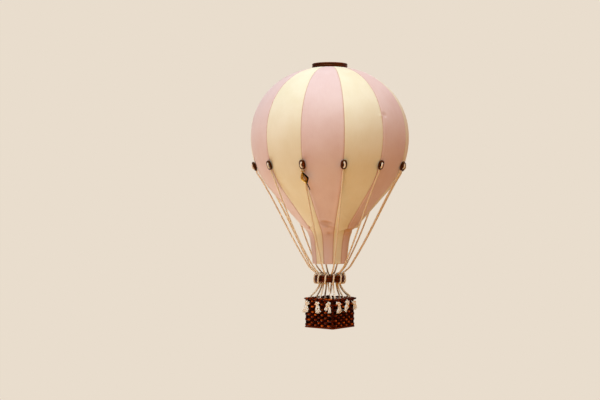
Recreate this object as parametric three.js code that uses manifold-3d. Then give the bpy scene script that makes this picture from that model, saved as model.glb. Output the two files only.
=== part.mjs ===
// Hanging toy balloon: striped envelope, wooden cap, beads and load ring, twelve cords, square woven basket.
// Millimetres, +Z up. The origin is the middle of the cap's top face, where the hanging line leaves it.
// Azimuths are in degrees from the front, -Y, and grow towards +X, to the right for someone in front.

import * as THREE from "three";
import { mergeVertices } from "three/addons/utils/BufferGeometryUtils.js";
import Module from "manifold-3d";

const wasm = await Module();
wasm.setup();

// Shared sizes
const SEAT_GAP = 0.3;
const SEAM_COUNT = 12;
const SEAM_STEP = 360 / SEAM_COUNT;
const FIRST_SEAM = -80;

// Envelope: a flattened crown, a round lower half, a straight cone and a narrow flared neck
const EQUATOR_RADIUS = 99;
const EQUATOR_Z = -92.9;
const CROWN_RISE = 89.1;
const CROWN_POWER = 2.1;
const CONE_START = 41.3;
const CREASE_Z = -204.6;
const MOUTH_Z = -250;
const MOUTH_RADIUS = 21.5;
const NECK_TAPER = 0.09;
const CREASE_FADE = 6.5;
const WALL = 2.2;
const SEAM_OPENING = 0.2;

// Cap: a turned disc with a groove round its edge, on a spigot that fills the crown's hole
const CAP_RADIUS = 22.4;
const CAP_THICKNESS = 4.8;
const CAP_EDGE = 0.7;
const CAP_GROOVE_DEPTH = 0.8;
const CAP_GROOVE_HALF_WIDTH = 0.5;
const SPIGOT_RADIUS = 6.5;
const SPIGOT_Z = -8.4;
const LINE_HOLE_RADIUS = 1.2;

// Beads on the seams, and the cord
const BEAD_ANGLE = 20.8;
const BEAD_HALF = { across: 3.9, along: 5.9, out: 2.25 };
const CORD_RADIUS = 0.95;
const CORD_SIDES = 5;
const TUNNEL_RADIUS = CORD_RADIUS + 0.35;

// Load ring
const RING_Z = -269;
const RING_RADIUS = 18.6;
const RING_WIDTH = 5;
const RING_HEIGHT = 8.4;
const RING_ROUNDING = 1.9;
const RING_TWIST = 3.5;

// Basket
const BASKET_TURN = -38.6;
const BASKET_SIDE = 42.4;
const BASKET_BOTTOM_Z = -330;
const FLOOR_THICKNESS = 1.9;
const FLOOR_OVERHANG = 1.3;
const POST_RADIUS = 1.3;
const RIM_Z = -294.05;
const RIM_RADIUS = 1.8;
const RIM_OVERHANG = 0.3;
const WALL_PANEL = { thickness: 1.4, wave: 0.5, stakes: 9, rows: 10 };

// Knots outside the basket
const KNOT_OUT = 3.4;
const KNOT_Z = -299;
const KNOT_HALF = { along: 2.6, out: 1.75, up: 2.1 };
const TAIL_RADIUS = { top: 0.85, bottom: 1.5 };

// Charm: a jump ring round the cord of the third bead, and a pierced leaf that swings on it
const CHARM_SEAM = 2;
const WIRE_RADIUS = 0.35;
const JUMP_RING = { radius: 2.3, along: -7.8 };
const CHARM_EYE_RADIUS = 1.05;
const LEAF = { lean: 24, length: 14.5, halfWidth: 4.6, neck: 0.5, thickness: 1.2 };
const LEAF_STEM = { length: 8.2, halfWidth: 0.75 };
const LEAF_WIDEST = 0.45;
const LEAF_SLOT = { top: 0.25, bottom: 0.78, fromMidrib: 0.7, toMidrib: 0.9, bulge: 1.1 };

// Each cord's place on its basket side, from the side's left corner seen from outside, as a share of it.
// One row a side: front left, front right, back right, back left.
const TIE_PLACES = [
  [0.11, 0.49, 0.9],
  [0.19, 0.59, 0.92],
  [0.16, 0.48, 0.835],
  [0.19, 0.56, 0.86],
];

// Each cord's two tails: lean in degrees to the right of straight down, and length from the knot's middle
const TAILS = [
  { leans: [-30, -4], lengths: [14, 12] },
  { leans: [-6, 28], lengths: [12.5, 11.5] },
  { leans: [-36, 20], lengths: [9.5, 11] },
  { leans: [0, 32], lengths: [12, 12] },
  { leans: [-30, 8], lengths: [11.5, 8] },
  { leans: [14, 44], lengths: [10, 9.5] },
  { leans: [-24, 12], lengths: [11, 12] },
  { leans: [-10, 26], lengths: [12.5, 10] },
  { leans: [-32, 6], lengths: [10.5, 12.5] },
  { leans: [-16, 24], lengths: [12, 11] },
  { leans: [-28, 10], lengths: [11, 12] },
  { leans: [-8, 34], lengths: [12, 10.5] },
];

const FINISHES = {
  pink_cotton: { color: "#dfb8ab", roughness: 0.9, metalness: 0 },
  cream_cotton: { color: "#efdcb8", roughness: 0.9, metalness: 0 },
  dark_wood: { color: "#3d1208", roughness: 0.3, metalness: 0 },
  wicker: { color: "#55200c", roughness: 0.4, metalness: 0 },
  cord: { color: "#ead2a8", roughness: 0.95, metalness: 0 },
  antique_brass: { color: "#8a6226", roughness: 0.4, metalness: 1 },
};

const balloon = new THREE.Group();

// Adds a named mesh with a material of its own
function add(name, geometry, finish, parent = balloon) {
  const mesh = new THREE.Mesh(geometry, new THREE.MeshStandardMaterial(FINISHES[finish]));
  mesh.name = name;
  parent.add(mesh);
  return mesh;
}

function numbered(name, index) {
  return `${name}_${String(index + 1).padStart(2, "0")}`;
}

function seamAzimuth(index) {
  return FIRST_SEAM + SEAM_STEP * index;
}

function outwards(azimuth) {
  const angle = THREE.MathUtils.degToRad(azimuth);
  return new THREE.Vector3(Math.sin(angle), -Math.cos(angle), 0);
}

function sideways(azimuth) {
  const angle = THREE.MathUtils.degToRad(azimuth);
  return new THREE.Vector3(Math.cos(angle), Math.sin(angle), 0);
}

// A point from its distance outwards, its distance sideways and its height, at one azimuth
function pointAt(azimuth, out, side, z) {
  const point = outwards(azimuth).multiplyScalar(out);
  point.addScaledVector(sideways(azimuth), side);
  point.z = z;
  return point;
}

// Leaves only positions, with shared corners merged
function bare(geometry) {
  geometry.deleteAttribute("normal");
  geometry.deleteAttribute("uv");
  return mergeVertices(geometry);
}

function solidOf(geometry) {
  const merged = bare(geometry);
  return new wasm.Manifold(new wasm.Mesh({
    numProp: 3,
    vertProperties: new Float32Array(merged.attributes.position.array),
    triVerts: new Uint32Array(merged.index.array),
  }));
}

function geometryOf(solid) {
  const mesh = solid.getMesh();
  const geometry = new THREE.BufferGeometry();
  geometry.setAttribute("position", new THREE.BufferAttribute(mesh.vertProperties, 3));
  geometry.setIndex(new THREE.BufferAttribute(mesh.triVerts, 1));
  return geometry;
}

// A box in steps whose corners a function puts in place, each from its three shares of the box's sides
function bentBox(steps, place) {
  const geometry = new THREE.BoxGeometry(1, 1, 1, steps[0], steps[1], steps[2]);
  const corners = geometry.attributes.position;
  for (let i = 0; i < corners.count; i += 1) {
    const point = place(corners.getX(i) + 0.5, corners.getY(i) + 0.5, corners.getZ(i) + 0.5);
    corners.setXYZ(i, point.x, point.y, point.z);
  }
  return bare(geometry);
}

// A path whose steps fall on its own stations, so that a long straight run takes a single step
class StationPath extends THREE.Curve {
  constructor(stations) {
    super();
    this.stations = stations;
  }

  getPoint(share, target = new THREE.Vector3()) {
    const last = this.stations.length - 1;
    const place = share * last;
    const before = Math.min(Math.round(place * 1000) / 1000 | 0, last - 1);
    return target.lerpVectors(this.stations[before], this.stations[before + 1], place - before);
  }

  getPointAt(share, target) {
    return this.getPoint(share, target);
  }

  getTangent(share, target = new THREE.Vector3()) {
    const last = this.stations.length - 1;
    const here = Math.round(share * last);
    const before = this.stations[Math.max(here - 1, 0)];
    const after = this.stations[Math.min(here + 1, last)];
    const middle = this.stations[here];
    const arriving = middle.clone().sub(before).normalize();
    const leaving = after.clone().sub(middle).normalize();
    return target.addVectors(arriving, leaving).normalize();
  }

  getTangentAt(share, target) {
    return this.getTangent(share, target);
  }
}

// A round rod along stations
function rod(stations, radius, sides = CORD_SIDES) {
  const corners = [];
  for (let i = 0; i < sides; i += 1) {
    const angle = (2 * Math.PI * i) / sides;
    corners.push(new THREE.Vector2(radius * Math.cos(angle), radius * Math.sin(angle)));
  }
  return new THREE.ExtrudeGeometry(new THREE.Shape(corners), {
    steps: stations.length - 1,
    bevelEnabled: false,
    extrudePath: new StationPath(stations),
  });
}

// A ring turned about Z from a closed outline of radius and height
function turnedRing(outline, segments, firstAzimuth = 0) {
  const closed = [...outline, outline[0]].map(([radius, z]) => new THREE.Vector2(radius, z));
  const geometry = new THREE.LatheGeometry(closed, segments);
  geometry.rotateX(Math.PI / 2);
  geometry.rotateZ(THREE.MathUtils.degToRad(firstAzimuth));
  return bare(geometry);
}

// The envelope's outline from the crown's hole down to the mouth, as radius and height
function envelopeOutline() {
  const crownSeatZ = -CAP_THICKNESS - SEAT_GAP;
  const outline = [[SPIGOT_RADIUS + SEAT_GAP, crownSeatZ]];
  for (let angle = 10; angle <= 90; angle += 10) {
    const turn = THREE.MathUtils.degToRad(angle);
    const radius = EQUATOR_RADIUS * Math.sin(turn) ** (2 / CROWN_POWER);
    const rise = CROWN_RISE * Math.abs(Math.cos(turn)) ** (2 / CROWN_POWER);
    outline.push([radius, Math.min(EQUATOR_Z + rise, crownSeatZ)]);
  }
  const roundSteps = 4;
  for (let step = 1; step <= roundSteps; step += 1) {
    const turn = THREE.MathUtils.degToRad((CONE_START * step) / roundSteps);
    outline.push([EQUATOR_RADIUS * Math.cos(turn), EQUATOR_Z - EQUATOR_RADIUS * Math.sin(turn)]);
  }
  for (const depth of [0, 3, 7, 14, 26, CREASE_Z - MOUTH_Z]) {
    outline.push([neckRadius(depth), CREASE_Z - depth]);
  }
  return outline;
}

// The neck's radius at a depth below the crease: an even taper, and a flare that fades from the crease down
function neckRadius(depth) {
  const coneStart = THREE.MathUtils.degToRad(CONE_START);
  const coneTopRadius = EQUATOR_RADIUS * Math.cos(coneStart);
  const coneTopZ = EQUATOR_Z - EQUATOR_RADIUS * Math.sin(coneStart);
  const creaseRadius = coneTopRadius - (coneTopZ - CREASE_Z) * Math.tan(coneStart);
  const taperTop = MOUTH_RADIUS + NECK_TAPER * (CREASE_Z - MOUTH_Z);
  const flare = (creaseRadius - taperTop) * Math.exp(-depth / CREASE_FADE);
  return taperTop - NECK_TAPER * depth + flare;
}

// The same outline, one wall thickness further in
function insetOutline(outline, distance) {
  return outline.map(([radius, z], i) => {
    const before = outline[Math.max(i - 1, 0)];
    const after = outline[Math.min(i + 1, outline.length - 1)];
    const outwardRun = after[0] - before[0];
    const rise = after[1] - before[1];
    const run = Math.hypot(outwardRun, rise);
    return [radius + (distance * rise) / run, z - (distance * outwardRun) / run];
  });
}

function buildGores() {
  const outer = envelopeOutline();
  const inner = insetOutline(outer, WALL);
  const last = outer.length - 1;
  for (let i = 0; i < SEAM_COUNT; i += 1) {
    const start = seamAzimuth(i) + SEAM_OPENING / 2;
    const geometry = bentBox([3, 1, last], (across, through, along) => {
      const station = Math.round(along * last);
      const [radius, z] = through > 0.5 ? outer[station] : inner[station];
      return pointAt(start + (SEAM_STEP - SEAM_OPENING) * across, radius, 0, z);
    });
    add(numbered("gore", i), geometry, i % 2 === 0 ? "pink_cotton" : "cream_cotton");
  }
}

function buildCap() {
  const middle = -CAP_THICKNESS / 2;
  const outline = [
    [LINE_HOLE_RADIUS, 0],
    [LINE_HOLE_RADIUS, SPIGOT_Z],
    [SPIGOT_RADIUS, SPIGOT_Z],
    [SPIGOT_RADIUS, -CAP_THICKNESS],
    [CAP_RADIUS - CAP_EDGE, -CAP_THICKNESS],
    [CAP_RADIUS, -CAP_THICKNESS + CAP_EDGE],
    [CAP_RADIUS, middle - CAP_GROOVE_HALF_WIDTH],
    [CAP_RADIUS - CAP_GROOVE_DEPTH, middle],
    [CAP_RADIUS, middle + CAP_GROOVE_HALF_WIDTH],
    [CAP_RADIUS, -CAP_EDGE],
    [CAP_RADIUS - CAP_EDGE, 0],
  ];
  add("top_cap", turnedRing(outline, 30), "dark_wood");
}

// The frame of a bead: X across it, Y up along the seam, Z out of the envelope, on the envelope's surface
function beadFrame(azimuth) {
  const slope = THREE.MathUtils.degToRad(BEAD_ANGLE);
  const across = sideways(azimuth);
  const out = outwards(azimuth).multiplyScalar(Math.cos(slope));
  out.z = -Math.sin(slope);
  const up = out.clone().cross(across);
  const surface = out.clone().multiplyScalar(EQUATOR_RADIUS);
  surface.z += EQUATOR_Z;
  return new THREE.Matrix4().makeBasis(across, up, out).setPosition(surface);
}

// The cord's stitch on a bead, as [up, out] in the bead's frame: from its end inside the upper hole, over the
// face, in at the lower hole, along the bead's back and out under its lower end
const STITCH = [
  [3.3, 2.4],
  [2.9, 4.4],
  [1.1, 6.0],
  [-1.1, 6.0],
  [-2.9, 4.4],
  [-3.9, 1.9],
  [-5.9, 1.75],
  [JUMP_RING.along, 2.35],
];

function stitchStations(frame) {
  return STITCH.map(([up, out]) => new THREE.Vector3(0, up, out).applyMatrix4(frame));
}

function buildBeads() {
  const bead = new THREE.SphereGeometry(1, 10, 6);
  bead.scale(BEAD_HALF.across, BEAD_HALF.along, BEAD_HALF.out);
  bead.translate(0, 0, BEAD_HALF.out + SEAT_GAP);
  const tunnel = rod(stitchStations(new THREE.Matrix4()), TUNNEL_RADIUS);
  const drilled = solidOf(bead).subtract(solidOf(tunnel));
  for (let i = 0; i < SEAM_COUNT; i += 1) {
    const mesh = add(numbered("bead", i), geometryOf(drilled), "dark_wood");
    mesh.applyMatrix4(beadFrame(seamAzimuth(i)));
  }
}

function buildLoadRing() {
  const halfWidth = RING_WIDTH / 2;
  const halfHeight = RING_HEIGHT / 2;
  const middle = RING_RADIUS - halfWidth;
  const outline = [
    [middle + halfWidth, RING_Z - halfHeight + RING_ROUNDING],
    [middle + halfWidth, RING_Z + halfHeight - RING_ROUNDING],
    [middle + halfWidth - RING_ROUNDING, RING_Z + halfHeight],
    [middle - halfWidth + RING_ROUNDING, RING_Z + halfHeight],
    [middle - halfWidth, RING_Z + halfHeight - RING_ROUNDING],
    [middle - halfWidth, RING_Z - halfHeight + RING_ROUNDING],
    [middle - halfWidth + RING_ROUNDING, RING_Z - halfHeight],
    [middle + halfWidth - RING_ROUNDING, RING_Z - halfHeight],
  ];
  add("load_ring", turnedRing(outline, 30), "dark_wood");
}

// The cord's round turn on the load ring, as [out, side, up] from the middle of the ring's section: in over
// the top, down inside, under, up outside, over the top again and down inside
const ROUND_TURN = [
  [9.6, -1.6, 14.4],
  [0.6, -1.5, 7.0],
  [-3.2, -1.4, 5.0],
  [-3.95, -1.2, 0],
  [-3.2, -1.0, -4.9],
  [0, -0.8, -5.65],
  [3.2, -0.6, -4.8],
  [4.0, 0, 0],
  [3.2, 0.6, 4.8],
  [0, 1.0, 5.65],
  [-3.2, 1.3, 5.0],
  [-3.95, 1.4, -2.6],
];

function roundTurnStations(azimuth) {
  const sectionRadius = RING_RADIUS - RING_WIDTH / 2;
  return ROUND_TURN.map(([out, side, up]) => pointAt(azimuth, sectionRadius + out, side, RING_Z + up));
}

// The long run from a bead to the ring hangs outwards by this much, most of all at two thirds of the way down
const LONG_RUN = { bow: 3, stations: [0.3, 0.55, 0.8] };

function longRunStations(from, to, azimuth) {
  return LONG_RUN.stations.map((share) => {
    const bow = 6.75 * LONG_RUN.bow * share ** 2 * (1 - share);
    return from.clone().lerp(to, share).addScaledVector(outwards(azimuth), bow);
  });
}

// The side of the basket that a cord is tied to: its azimuth, and the tie's place along it
function tieOf(index) {
  const side = Math.floor(index / 3);
  return { azimuth: BASKET_TURN + 90 * side, along: (TIE_PLACES[side][index % 3] - 0.5) * BASKET_SIDE };
}

// The cord's way past the rim and out through the wall, as [out, z], out from the middle of the wall
const WAY_OUT = [
  [-2.95, RIM_Z + 2.4],
  [-2.95, RIM_Z - 1.2],
  [-0.2, -298.2],
  [KNOT_OUT, KNOT_Z],
];

function wayOutStations(index) {
  const tie = tieOf(index);
  return WAY_OUT.map(([out, z]) => pointAt(tie.azimuth, BASKET_SIDE / 2 + out, tie.along, z));
}

// The curve from the load ring to the rim: straight down out of the ring, then outwards
const LOWER_RUN = { straightDown: 9, stations: [0.35, 0.7] };

function lowerRunStations(from, to) {
  const under = from.clone();
  under.z -= LOWER_RUN.straightDown;
  const curve = new THREE.QuadraticBezierCurve3(from, under, to);
  return LOWER_RUN.stations.map((share) => curve.getPoint(share));
}

// A knot and its two frayed tails, outside the basket
function knotAndTails(index) {
  const tie = tieOf(index);
  const knot = new THREE.SphereGeometry(1, 6, 4);
  knot.rotateX(Math.PI / 2);
  knot.scale(KNOT_HALF.along, KNOT_HALF.out, KNOT_HALF.up);
  const place = new THREE.Matrix4().makeBasis(
    sideways(tie.azimuth),
    outwards(tie.azimuth).negate(),
    new THREE.Vector3(0, 0, 1),
  );
  place.setPosition(pointAt(tie.azimuth, BASKET_SIDE / 2 + KNOT_OUT, tie.along, KNOT_Z));
  knot.applyMatrix4(place);
  let solid = solidOf(knot);
  for (const end of [0, 1]) {
    const length = TAILS[index].lengths[end];
    const tail = new THREE.CylinderGeometry(TAIL_RADIUS.top, TAIL_RADIUS.bottom, length, CORD_SIDES);
    tail.rotateX(Math.PI / 2);
    tail.translate(0, 0, -length / 2);
    tail.rotateY(-THREE.MathUtils.degToRad(TAILS[index].leans[end]));
    tail.applyMatrix4(place);
    solid = solid.add(solidOf(tail));
  }
  return solid;
}

function buildCords() {
  for (let i = 0; i < SEAM_COUNT; i += 1) {
    const azimuth = seamAzimuth(i);
    const stitch = stitchStations(beadFrame(azimuth));
    const turn = roundTurnStations(azimuth + RING_TWIST);
    const wayOut = wayOutStations(i);
    const stations = [
      ...stitch,
      ...longRunStations(stitch[stitch.length - 1], turn[0], azimuth),
      ...turn,
      ...lowerRunStations(turn[turn.length - 1], wayOut[0]),
      ...wayOut,
    ];
    const cord = solidOf(rod(stations, CORD_RADIUS)).add(knotAndTails(i));
    add(numbered("cord", i), geometryOf(cord), "cord");
  }
}

// One woven wall: a panel whose corners go in and out by turns, as stakes and weavers do
function buildWalls(names) {
  const length = BASKET_SIDE - 2 * (POST_RADIUS + SEAT_GAP);
  const bottom = BASKET_BOTTOM_Z + FLOOR_THICKNESS + SEAT_GAP;
  const top = RIM_Z - RIM_RADIUS - SEAT_GAP;
  names.forEach((name, side) => {
    const azimuth = BASKET_TURN + 90 * side;
    const { stakes, rows, thickness, wave } = WALL_PANEL;
    const panel = bentBox([stakes, 1, rows], (across, through, upwards) => {
      const wavePhase = (Math.round(across * stakes) + Math.round(upwards * rows)) % 2 === 0 ? 1 : -1;
      const out = BASKET_SIDE / 2 + thickness * (0.5 - through) + wave * wavePhase;
      return pointAt(azimuth, out, (across - 0.5) * length, bottom + (top - bottom) * upwards);
    });
    let wall = solidOf(panel);
    for (let tie = 0; tie < 3; tie += 1) {
      wall = wall.subtract(solidOf(rod(wayOutStations(3 * side + tie), TUNNEL_RADIUS)));
    }
    add(`basket_wall_${name}`, geometryOf(wall), "wicker");
  });
}

function buildPosts(names) {
  const bottom = BASKET_BOTTOM_Z + FLOOR_THICKNESS + SEAT_GAP;
  const top = RIM_Z - RIM_RADIUS - SEAT_GAP;
  names.forEach((name, corner) => {
    const post = new THREE.CylinderGeometry(POST_RADIUS, POST_RADIUS, top - bottom, 8);
    post.rotateX(Math.PI / 2);
    const mesh = add(`basket_post_${name}`, bare(post), "wicker");
    mesh.position.copy(pointAt(cornerAzimuth(corner), BASKET_SIDE / Math.SQRT2, 0, (top + bottom) / 2));
  });
}

// The corners' azimuths, from the left corner on
function cornerAzimuth(corner) {
  return BASKET_TURN - 45 + 90 * corner;
}

// The rim rod: a square ring with a round section, so its outline at a corner is wider by the root of two
function buildRim() {
  const sides = 8;
  const outline = [];
  for (let i = 0; i < sides; i += 1) {
    const angle = (2 * Math.PI * (i + 0.5)) / sides;
    const out = BASKET_SIDE / 2 + RIM_OVERHANG + RIM_RADIUS * Math.cos(angle);
    outline.push([out * Math.SQRT2, RIM_Z + RIM_RADIUS * Math.sin(angle)]);
  }
  add("basket_rim", turnedRing(outline, 4, cornerAzimuth(0) - 90), "wicker");
}

function buildFloor() {
  const width = BASKET_SIDE + 2 * FLOOR_OVERHANG;
  const floor = add("basket_floor", bare(new THREE.BoxGeometry(width, width, FLOOR_THICKNESS)), "wicker");
  floor.rotation.z = THREE.MathUtils.degToRad(BASKET_TURN);
  floor.position.z = BASKET_BOTTOM_Z + FLOOR_THICKNESS / 2;
}

// A leaf outline that hangs from the origin by a short neck, its stem down, with two slots beside its midrib
function leafShape() {
  const { length, halfWidth, neck } = LEAF;
  const bulge = halfWidth * 1.9;
  const widest = -length * LEAF_WIDEST;
  const stem = LEAF_STEM.halfWidth;
  const tip = -length - LEAF_STEM.length;
  const shape = new THREE.Shape();
  shape.moveTo(neck, 0);
  shape.lineTo(-neck, 0);
  shape.quadraticCurveTo(-bulge, widest, -stem, -length);
  shape.lineTo(-stem, tip);
  shape.lineTo(stem, tip);
  shape.lineTo(stem, -length);
  shape.quadraticCurveTo(bulge, widest, neck, 0);
  for (const side of [1, -1]) {
    const slot = new THREE.Path();
    const slotBulge = side * halfWidth * LEAF_SLOT.bulge;
    slot.moveTo(side * LEAF_SLOT.fromMidrib, -length * LEAF_SLOT.top);
    slot.quadraticCurveTo(slotBulge, widest, side * LEAF_SLOT.toMidrib, -length * LEAF_SLOT.bottom);
    shape.holes.push(slot);
  }
  return shape;
}

function buildCharm() {
  const azimuth = seamAzimuth(CHARM_SEAM);
  const frame = beadFrame(azimuth);
  const under = WIRE_RADIUS + SEAT_GAP;
  const jumpRing = new THREE.TorusGeometry(JUMP_RING.radius, WIRE_RADIUS, 5, 16);
  jumpRing.rotateX(Math.PI / 2);
  jumpRing.translate(0, JUMP_RING.along, under + JUMP_RING.radius);
  add("charm_ring", bare(jumpRing), "antique_brass").applyMatrix4(frame);

  const pivot = new THREE.Vector3(0, JUMP_RING.along, under + 2 * JUMP_RING.radius).applyMatrix4(frame);
  const depth = LEAF.thickness;
  const leaf = new THREE.ExtrudeGeometry(leafShape(), { depth, bevelEnabled: false, curveSegments: 5 });
  leaf.translate(0, 0, -depth / 2);
  leaf.rotateZ(THREE.MathUtils.degToRad(LEAF.lean));
  leaf.translate(0, -CHARM_EYE_RADIUS, 0);
  const eye = new THREE.TorusGeometry(CHARM_EYE_RADIUS, WIRE_RADIUS, 5, 10);
  eye.rotateY(Math.PI / 2);
  const hanging = new THREE.Group();
  hanging.position.copy(pivot);
  hanging.rotation.set(Math.PI / 2, 0, THREE.MathUtils.degToRad(azimuth), "ZXY");
  add("charm_leaf", geometryOf(solidOf(leaf).add(solidOf(eye))), "antique_brass", hanging);
  balloon.add(hanging);
}

buildCap();
buildGores();
buildBeads();
buildCords();
buildLoadRing();
buildWalls(["front_left", "front_right", "back_right", "back_left"]);
buildPosts(["left", "front", "right", "back"]);
buildRim();
buildFloor();
buildCharm();

export default balloon;
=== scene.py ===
import math

import bmesh
import bpy
import numpy as np
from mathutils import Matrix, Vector


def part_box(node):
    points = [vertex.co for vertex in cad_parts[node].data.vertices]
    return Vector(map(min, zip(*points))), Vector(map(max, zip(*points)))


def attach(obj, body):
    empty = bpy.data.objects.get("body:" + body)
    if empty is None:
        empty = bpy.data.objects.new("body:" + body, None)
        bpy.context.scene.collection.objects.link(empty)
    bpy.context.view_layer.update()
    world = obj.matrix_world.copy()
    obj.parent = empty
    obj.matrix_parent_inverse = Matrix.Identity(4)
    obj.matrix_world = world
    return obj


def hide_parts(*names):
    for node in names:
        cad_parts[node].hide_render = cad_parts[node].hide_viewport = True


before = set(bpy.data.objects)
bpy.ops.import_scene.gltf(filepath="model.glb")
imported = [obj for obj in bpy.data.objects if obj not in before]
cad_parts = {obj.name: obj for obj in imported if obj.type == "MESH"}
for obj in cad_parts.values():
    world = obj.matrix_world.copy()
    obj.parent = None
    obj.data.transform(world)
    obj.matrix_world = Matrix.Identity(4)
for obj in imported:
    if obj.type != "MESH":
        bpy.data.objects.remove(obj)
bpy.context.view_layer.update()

# Looks of the hanging toy balloon: cotton gores, twisted cords, turned wood, a woven basket and a charm.
# Shapes are worked out in millimetres and put into the meshes in metres. Azimuths are in degrees from the
# front, -Y, and grow towards +X.

MM = 0.001
BODY = "balloon"
MERGE_DISTANCE = 0.002

# Seams, shared by the gores, the beads and the cords
SEAM_COUNT = 12
SEAM_STEP = 360 / SEAM_COUNT
FIRST_SEAM = -80


def high(node):
    """The highest corner of a node's box, in millimetres."""
    return [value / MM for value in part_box(node)[1]]


def low(node):
    """The lowest corner of a node's box, in millimetres."""
    return [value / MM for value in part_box(node)[0]]


def numbered(name, index):
    return f"{name}_{index + 1:02d}"


def seam_azimuth(index):
    return FIRST_SEAM + SEAM_STEP * index


# Directions, places and plain curves

UP = np.array([0.0, 0.0, 1.0])


def stacked(*columns):
    """Arrays that stretch to one shape, side by side as the columns of points."""
    return np.stack(np.broadcast_arrays(*columns), axis=-1)


def outwards(azimuth):
    """Unit vectors from the axis towards the azimuths."""
    angle = np.radians(np.asarray(azimuth, float))
    return stacked(np.sin(angle), -np.cos(angle), 0.0)


def sideways(azimuth):
    """Unit vectors along a circle round the axis, to the right for someone outside."""
    angle = np.radians(np.asarray(azimuth, float))
    return stacked(np.cos(angle), np.sin(angle), 0.0)


def spot(azimuth, out, side, z):
    """Points at azimuths, from their distances outwards and sideways and their heights, all maybe arrays."""
    out, side, z = (np.asarray(value, float)[..., None] for value in (out, side, z))
    return out * outwards(azimuth) + side * sideways(azimuth) + z * UP


def unit(vectors):
    return vectors / np.maximum(np.linalg.norm(vectors, axis=-1, keepdims=True), 1e-9)


def bell(distance, width):
    """A soft bump: one at no distance, and gone after about two widths."""
    return np.exp(-(distance / width) ** 2)


def power(value, exponent):
    """The value's size to a power, with its sign kept."""
    return np.sign(value) * np.abs(value) ** exponent


def once_round(count):
    """Even angles once round, in radians."""
    return 2 * np.pi * np.arange(count) / count


def blurred(values, reach, width):
    """Values along a line, each made the mean of its neighbours within a reach, weighted by a bell."""
    weights = bell(np.arange(-reach, reach + 1), width)
    return np.convolve(np.pad(values, reach, "edge"), weights / weights.sum(), "valid")


def quadratic(share, start, middle, end):
    """A quadratic Bezier curve: (1 - s) squared start, 2 s (1 - s) middle, and s squared end."""
    return (1 - share) ** 2 * start + 2 * share * (1 - share) * middle + share ** 2 * end


def distances(path):
    """Each point's distance along a path."""
    return np.concatenate([[0], np.cumsum(np.linalg.norm(np.diff(path, axis=0), axis=1))])


# Surfaces: grids of points, skinned with four-cornered faces

def surface(points, uv=None, **values):
    """A grid of points whose last column joins its first, with a flat place in metres and named values.

    Rows run along the shape and columns round it. A row drawn in to a point or a line closes an end.
    """
    rows, columns = points.shape[:2]
    row = np.arange(rows - 1)[:, None] * columns
    column = np.arange(columns)[None, :]
    after = (column + 1) % columns
    quads = np.stack([row + column, row + after, row + columns + after, row + columns + column], axis=-1)
    flat = np.zeros((rows, columns, 2)) if uv is None else uv
    return {
        "points": points.reshape(-1, 3),
        "quads": quads.reshape(-1, 4),
        "uv": flat.reshape(-1, 2),
        "values": {name: np.broadcast_to(value, (rows, columns)).ravel() for name, value in values.items()},
    }


def slab(front, back, end, flat, **values):
    """A closed skin round a panel: front and back meet at their side edges, and the end rows close it."""
    def loop(first, second):
        return np.concatenate([first, second[:, ::-1]], axis=1)

    def closed(grid, ends):
        return np.concatenate([ends[:1], grid, ends[-1:]])

    def on_both(value):
        return closed(loop(value, value), loop(value, value))

    shape = front.shape[:2]
    values = {name: on_both(np.broadcast_to(value, shape)) for name, value in values.items()}
    return surface(closed(loop(front, back), loop(end, end)), on_both(flat), **values)


def joined(surfaces):
    """Several surfaces as one."""
    counts = [len(part["points"]) for part in surfaces]
    firsts = np.concatenate([[0], np.cumsum(counts)[:-1]])
    names = surfaces[0]["values"]
    return {
        "points": np.concatenate([part["points"] for part in surfaces]),
        "quads": np.concatenate([part["quads"] + first for part, first in zip(surfaces, firsts)]),
        "uv": np.concatenate([part["uv"] for part in surfaces]),
        "values": {name: np.concatenate([part["values"][name] for part in surfaces]) for name in names},
    }


def toned(shape, **values):
    """The same surface, with each named value one number all over."""
    for name, value in values.items():
        shape["values"][name] = np.full(len(shape["points"]), float(value))
    return shape


def put(name, data):
    """A new object in the scene, from its mesh, light or lens."""
    item = bpy.data.objects.new(name, data)
    bpy.context.scene.collection.objects.link(item)
    return item


def make_piece(name, shape, material, replaced, body=BODY, crease=None):
    """Puts a surface into a mesh, merges its seams and poles, and hands the piece to its body."""
    mesh = bpy.data.meshes.new(name)
    mesh.from_pydata(shape["points"] * MM, [], shape["quads"])
    layer = mesh.uv_layers.new(name="flat")
    layer.data.foreach_set("uv", shape["uv"][shape["quads"].ravel()].ravel().astype(np.float32))
    for value_name, value in shape["values"].items():
        attribute = mesh.attributes.new(value_name, "FLOAT", "POINT")
        attribute.data.foreach_set("value", value.astype(np.float32))
    edit = bmesh.new()
    edit.from_mesh(mesh)
    bmesh.ops.remove_doubles(edit, verts=edit.verts, dist=MERGE_DISTANCE * MM)
    bmesh.ops.recalc_face_normals(edit, faces=edit.faces)
    edit.to_mesh(mesh)
    edit.free()
    mesh.polygons.foreach_set("use_smooth", np.ones(len(mesh.polygons), bool))
    if crease is not None:
        mesh.set_sharp_from_angle(angle=math.radians(crease))
    mesh.materials.append(material)
    piece = put(name, mesh)
    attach(piece, body)
    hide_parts(*replaced)
    return piece


# Paths and rods

def evenly(path, step):
    """The same path with points at even steps along it."""
    along = distances(path)
    places = np.linspace(0, along[-1], max(3, math.ceil(along[-1] / step) + 1))
    return np.stack([np.interp(places, along, path[:, axis]) for axis in range(3)], axis=1)


# A run longer than this is kept straight, by stations this far from its ends
STRAIGHT_FROM = 12
STRAIGHT_MARGIN = 3
STRETCH_POINTS = 24


def with_straights(stations):
    """The stations, with one more near each end of every long run, so that the run stays straight."""
    found = [stations[0]]
    for before, after in zip(stations[:-1], stations[1:]):
        length = np.linalg.norm(after - before)
        if length > STRAIGHT_FROM:
            step = (after - before) * STRAIGHT_MARGIN / length
            found += [before + step, after - step]
        found.append(after)
    return np.array(found)


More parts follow.
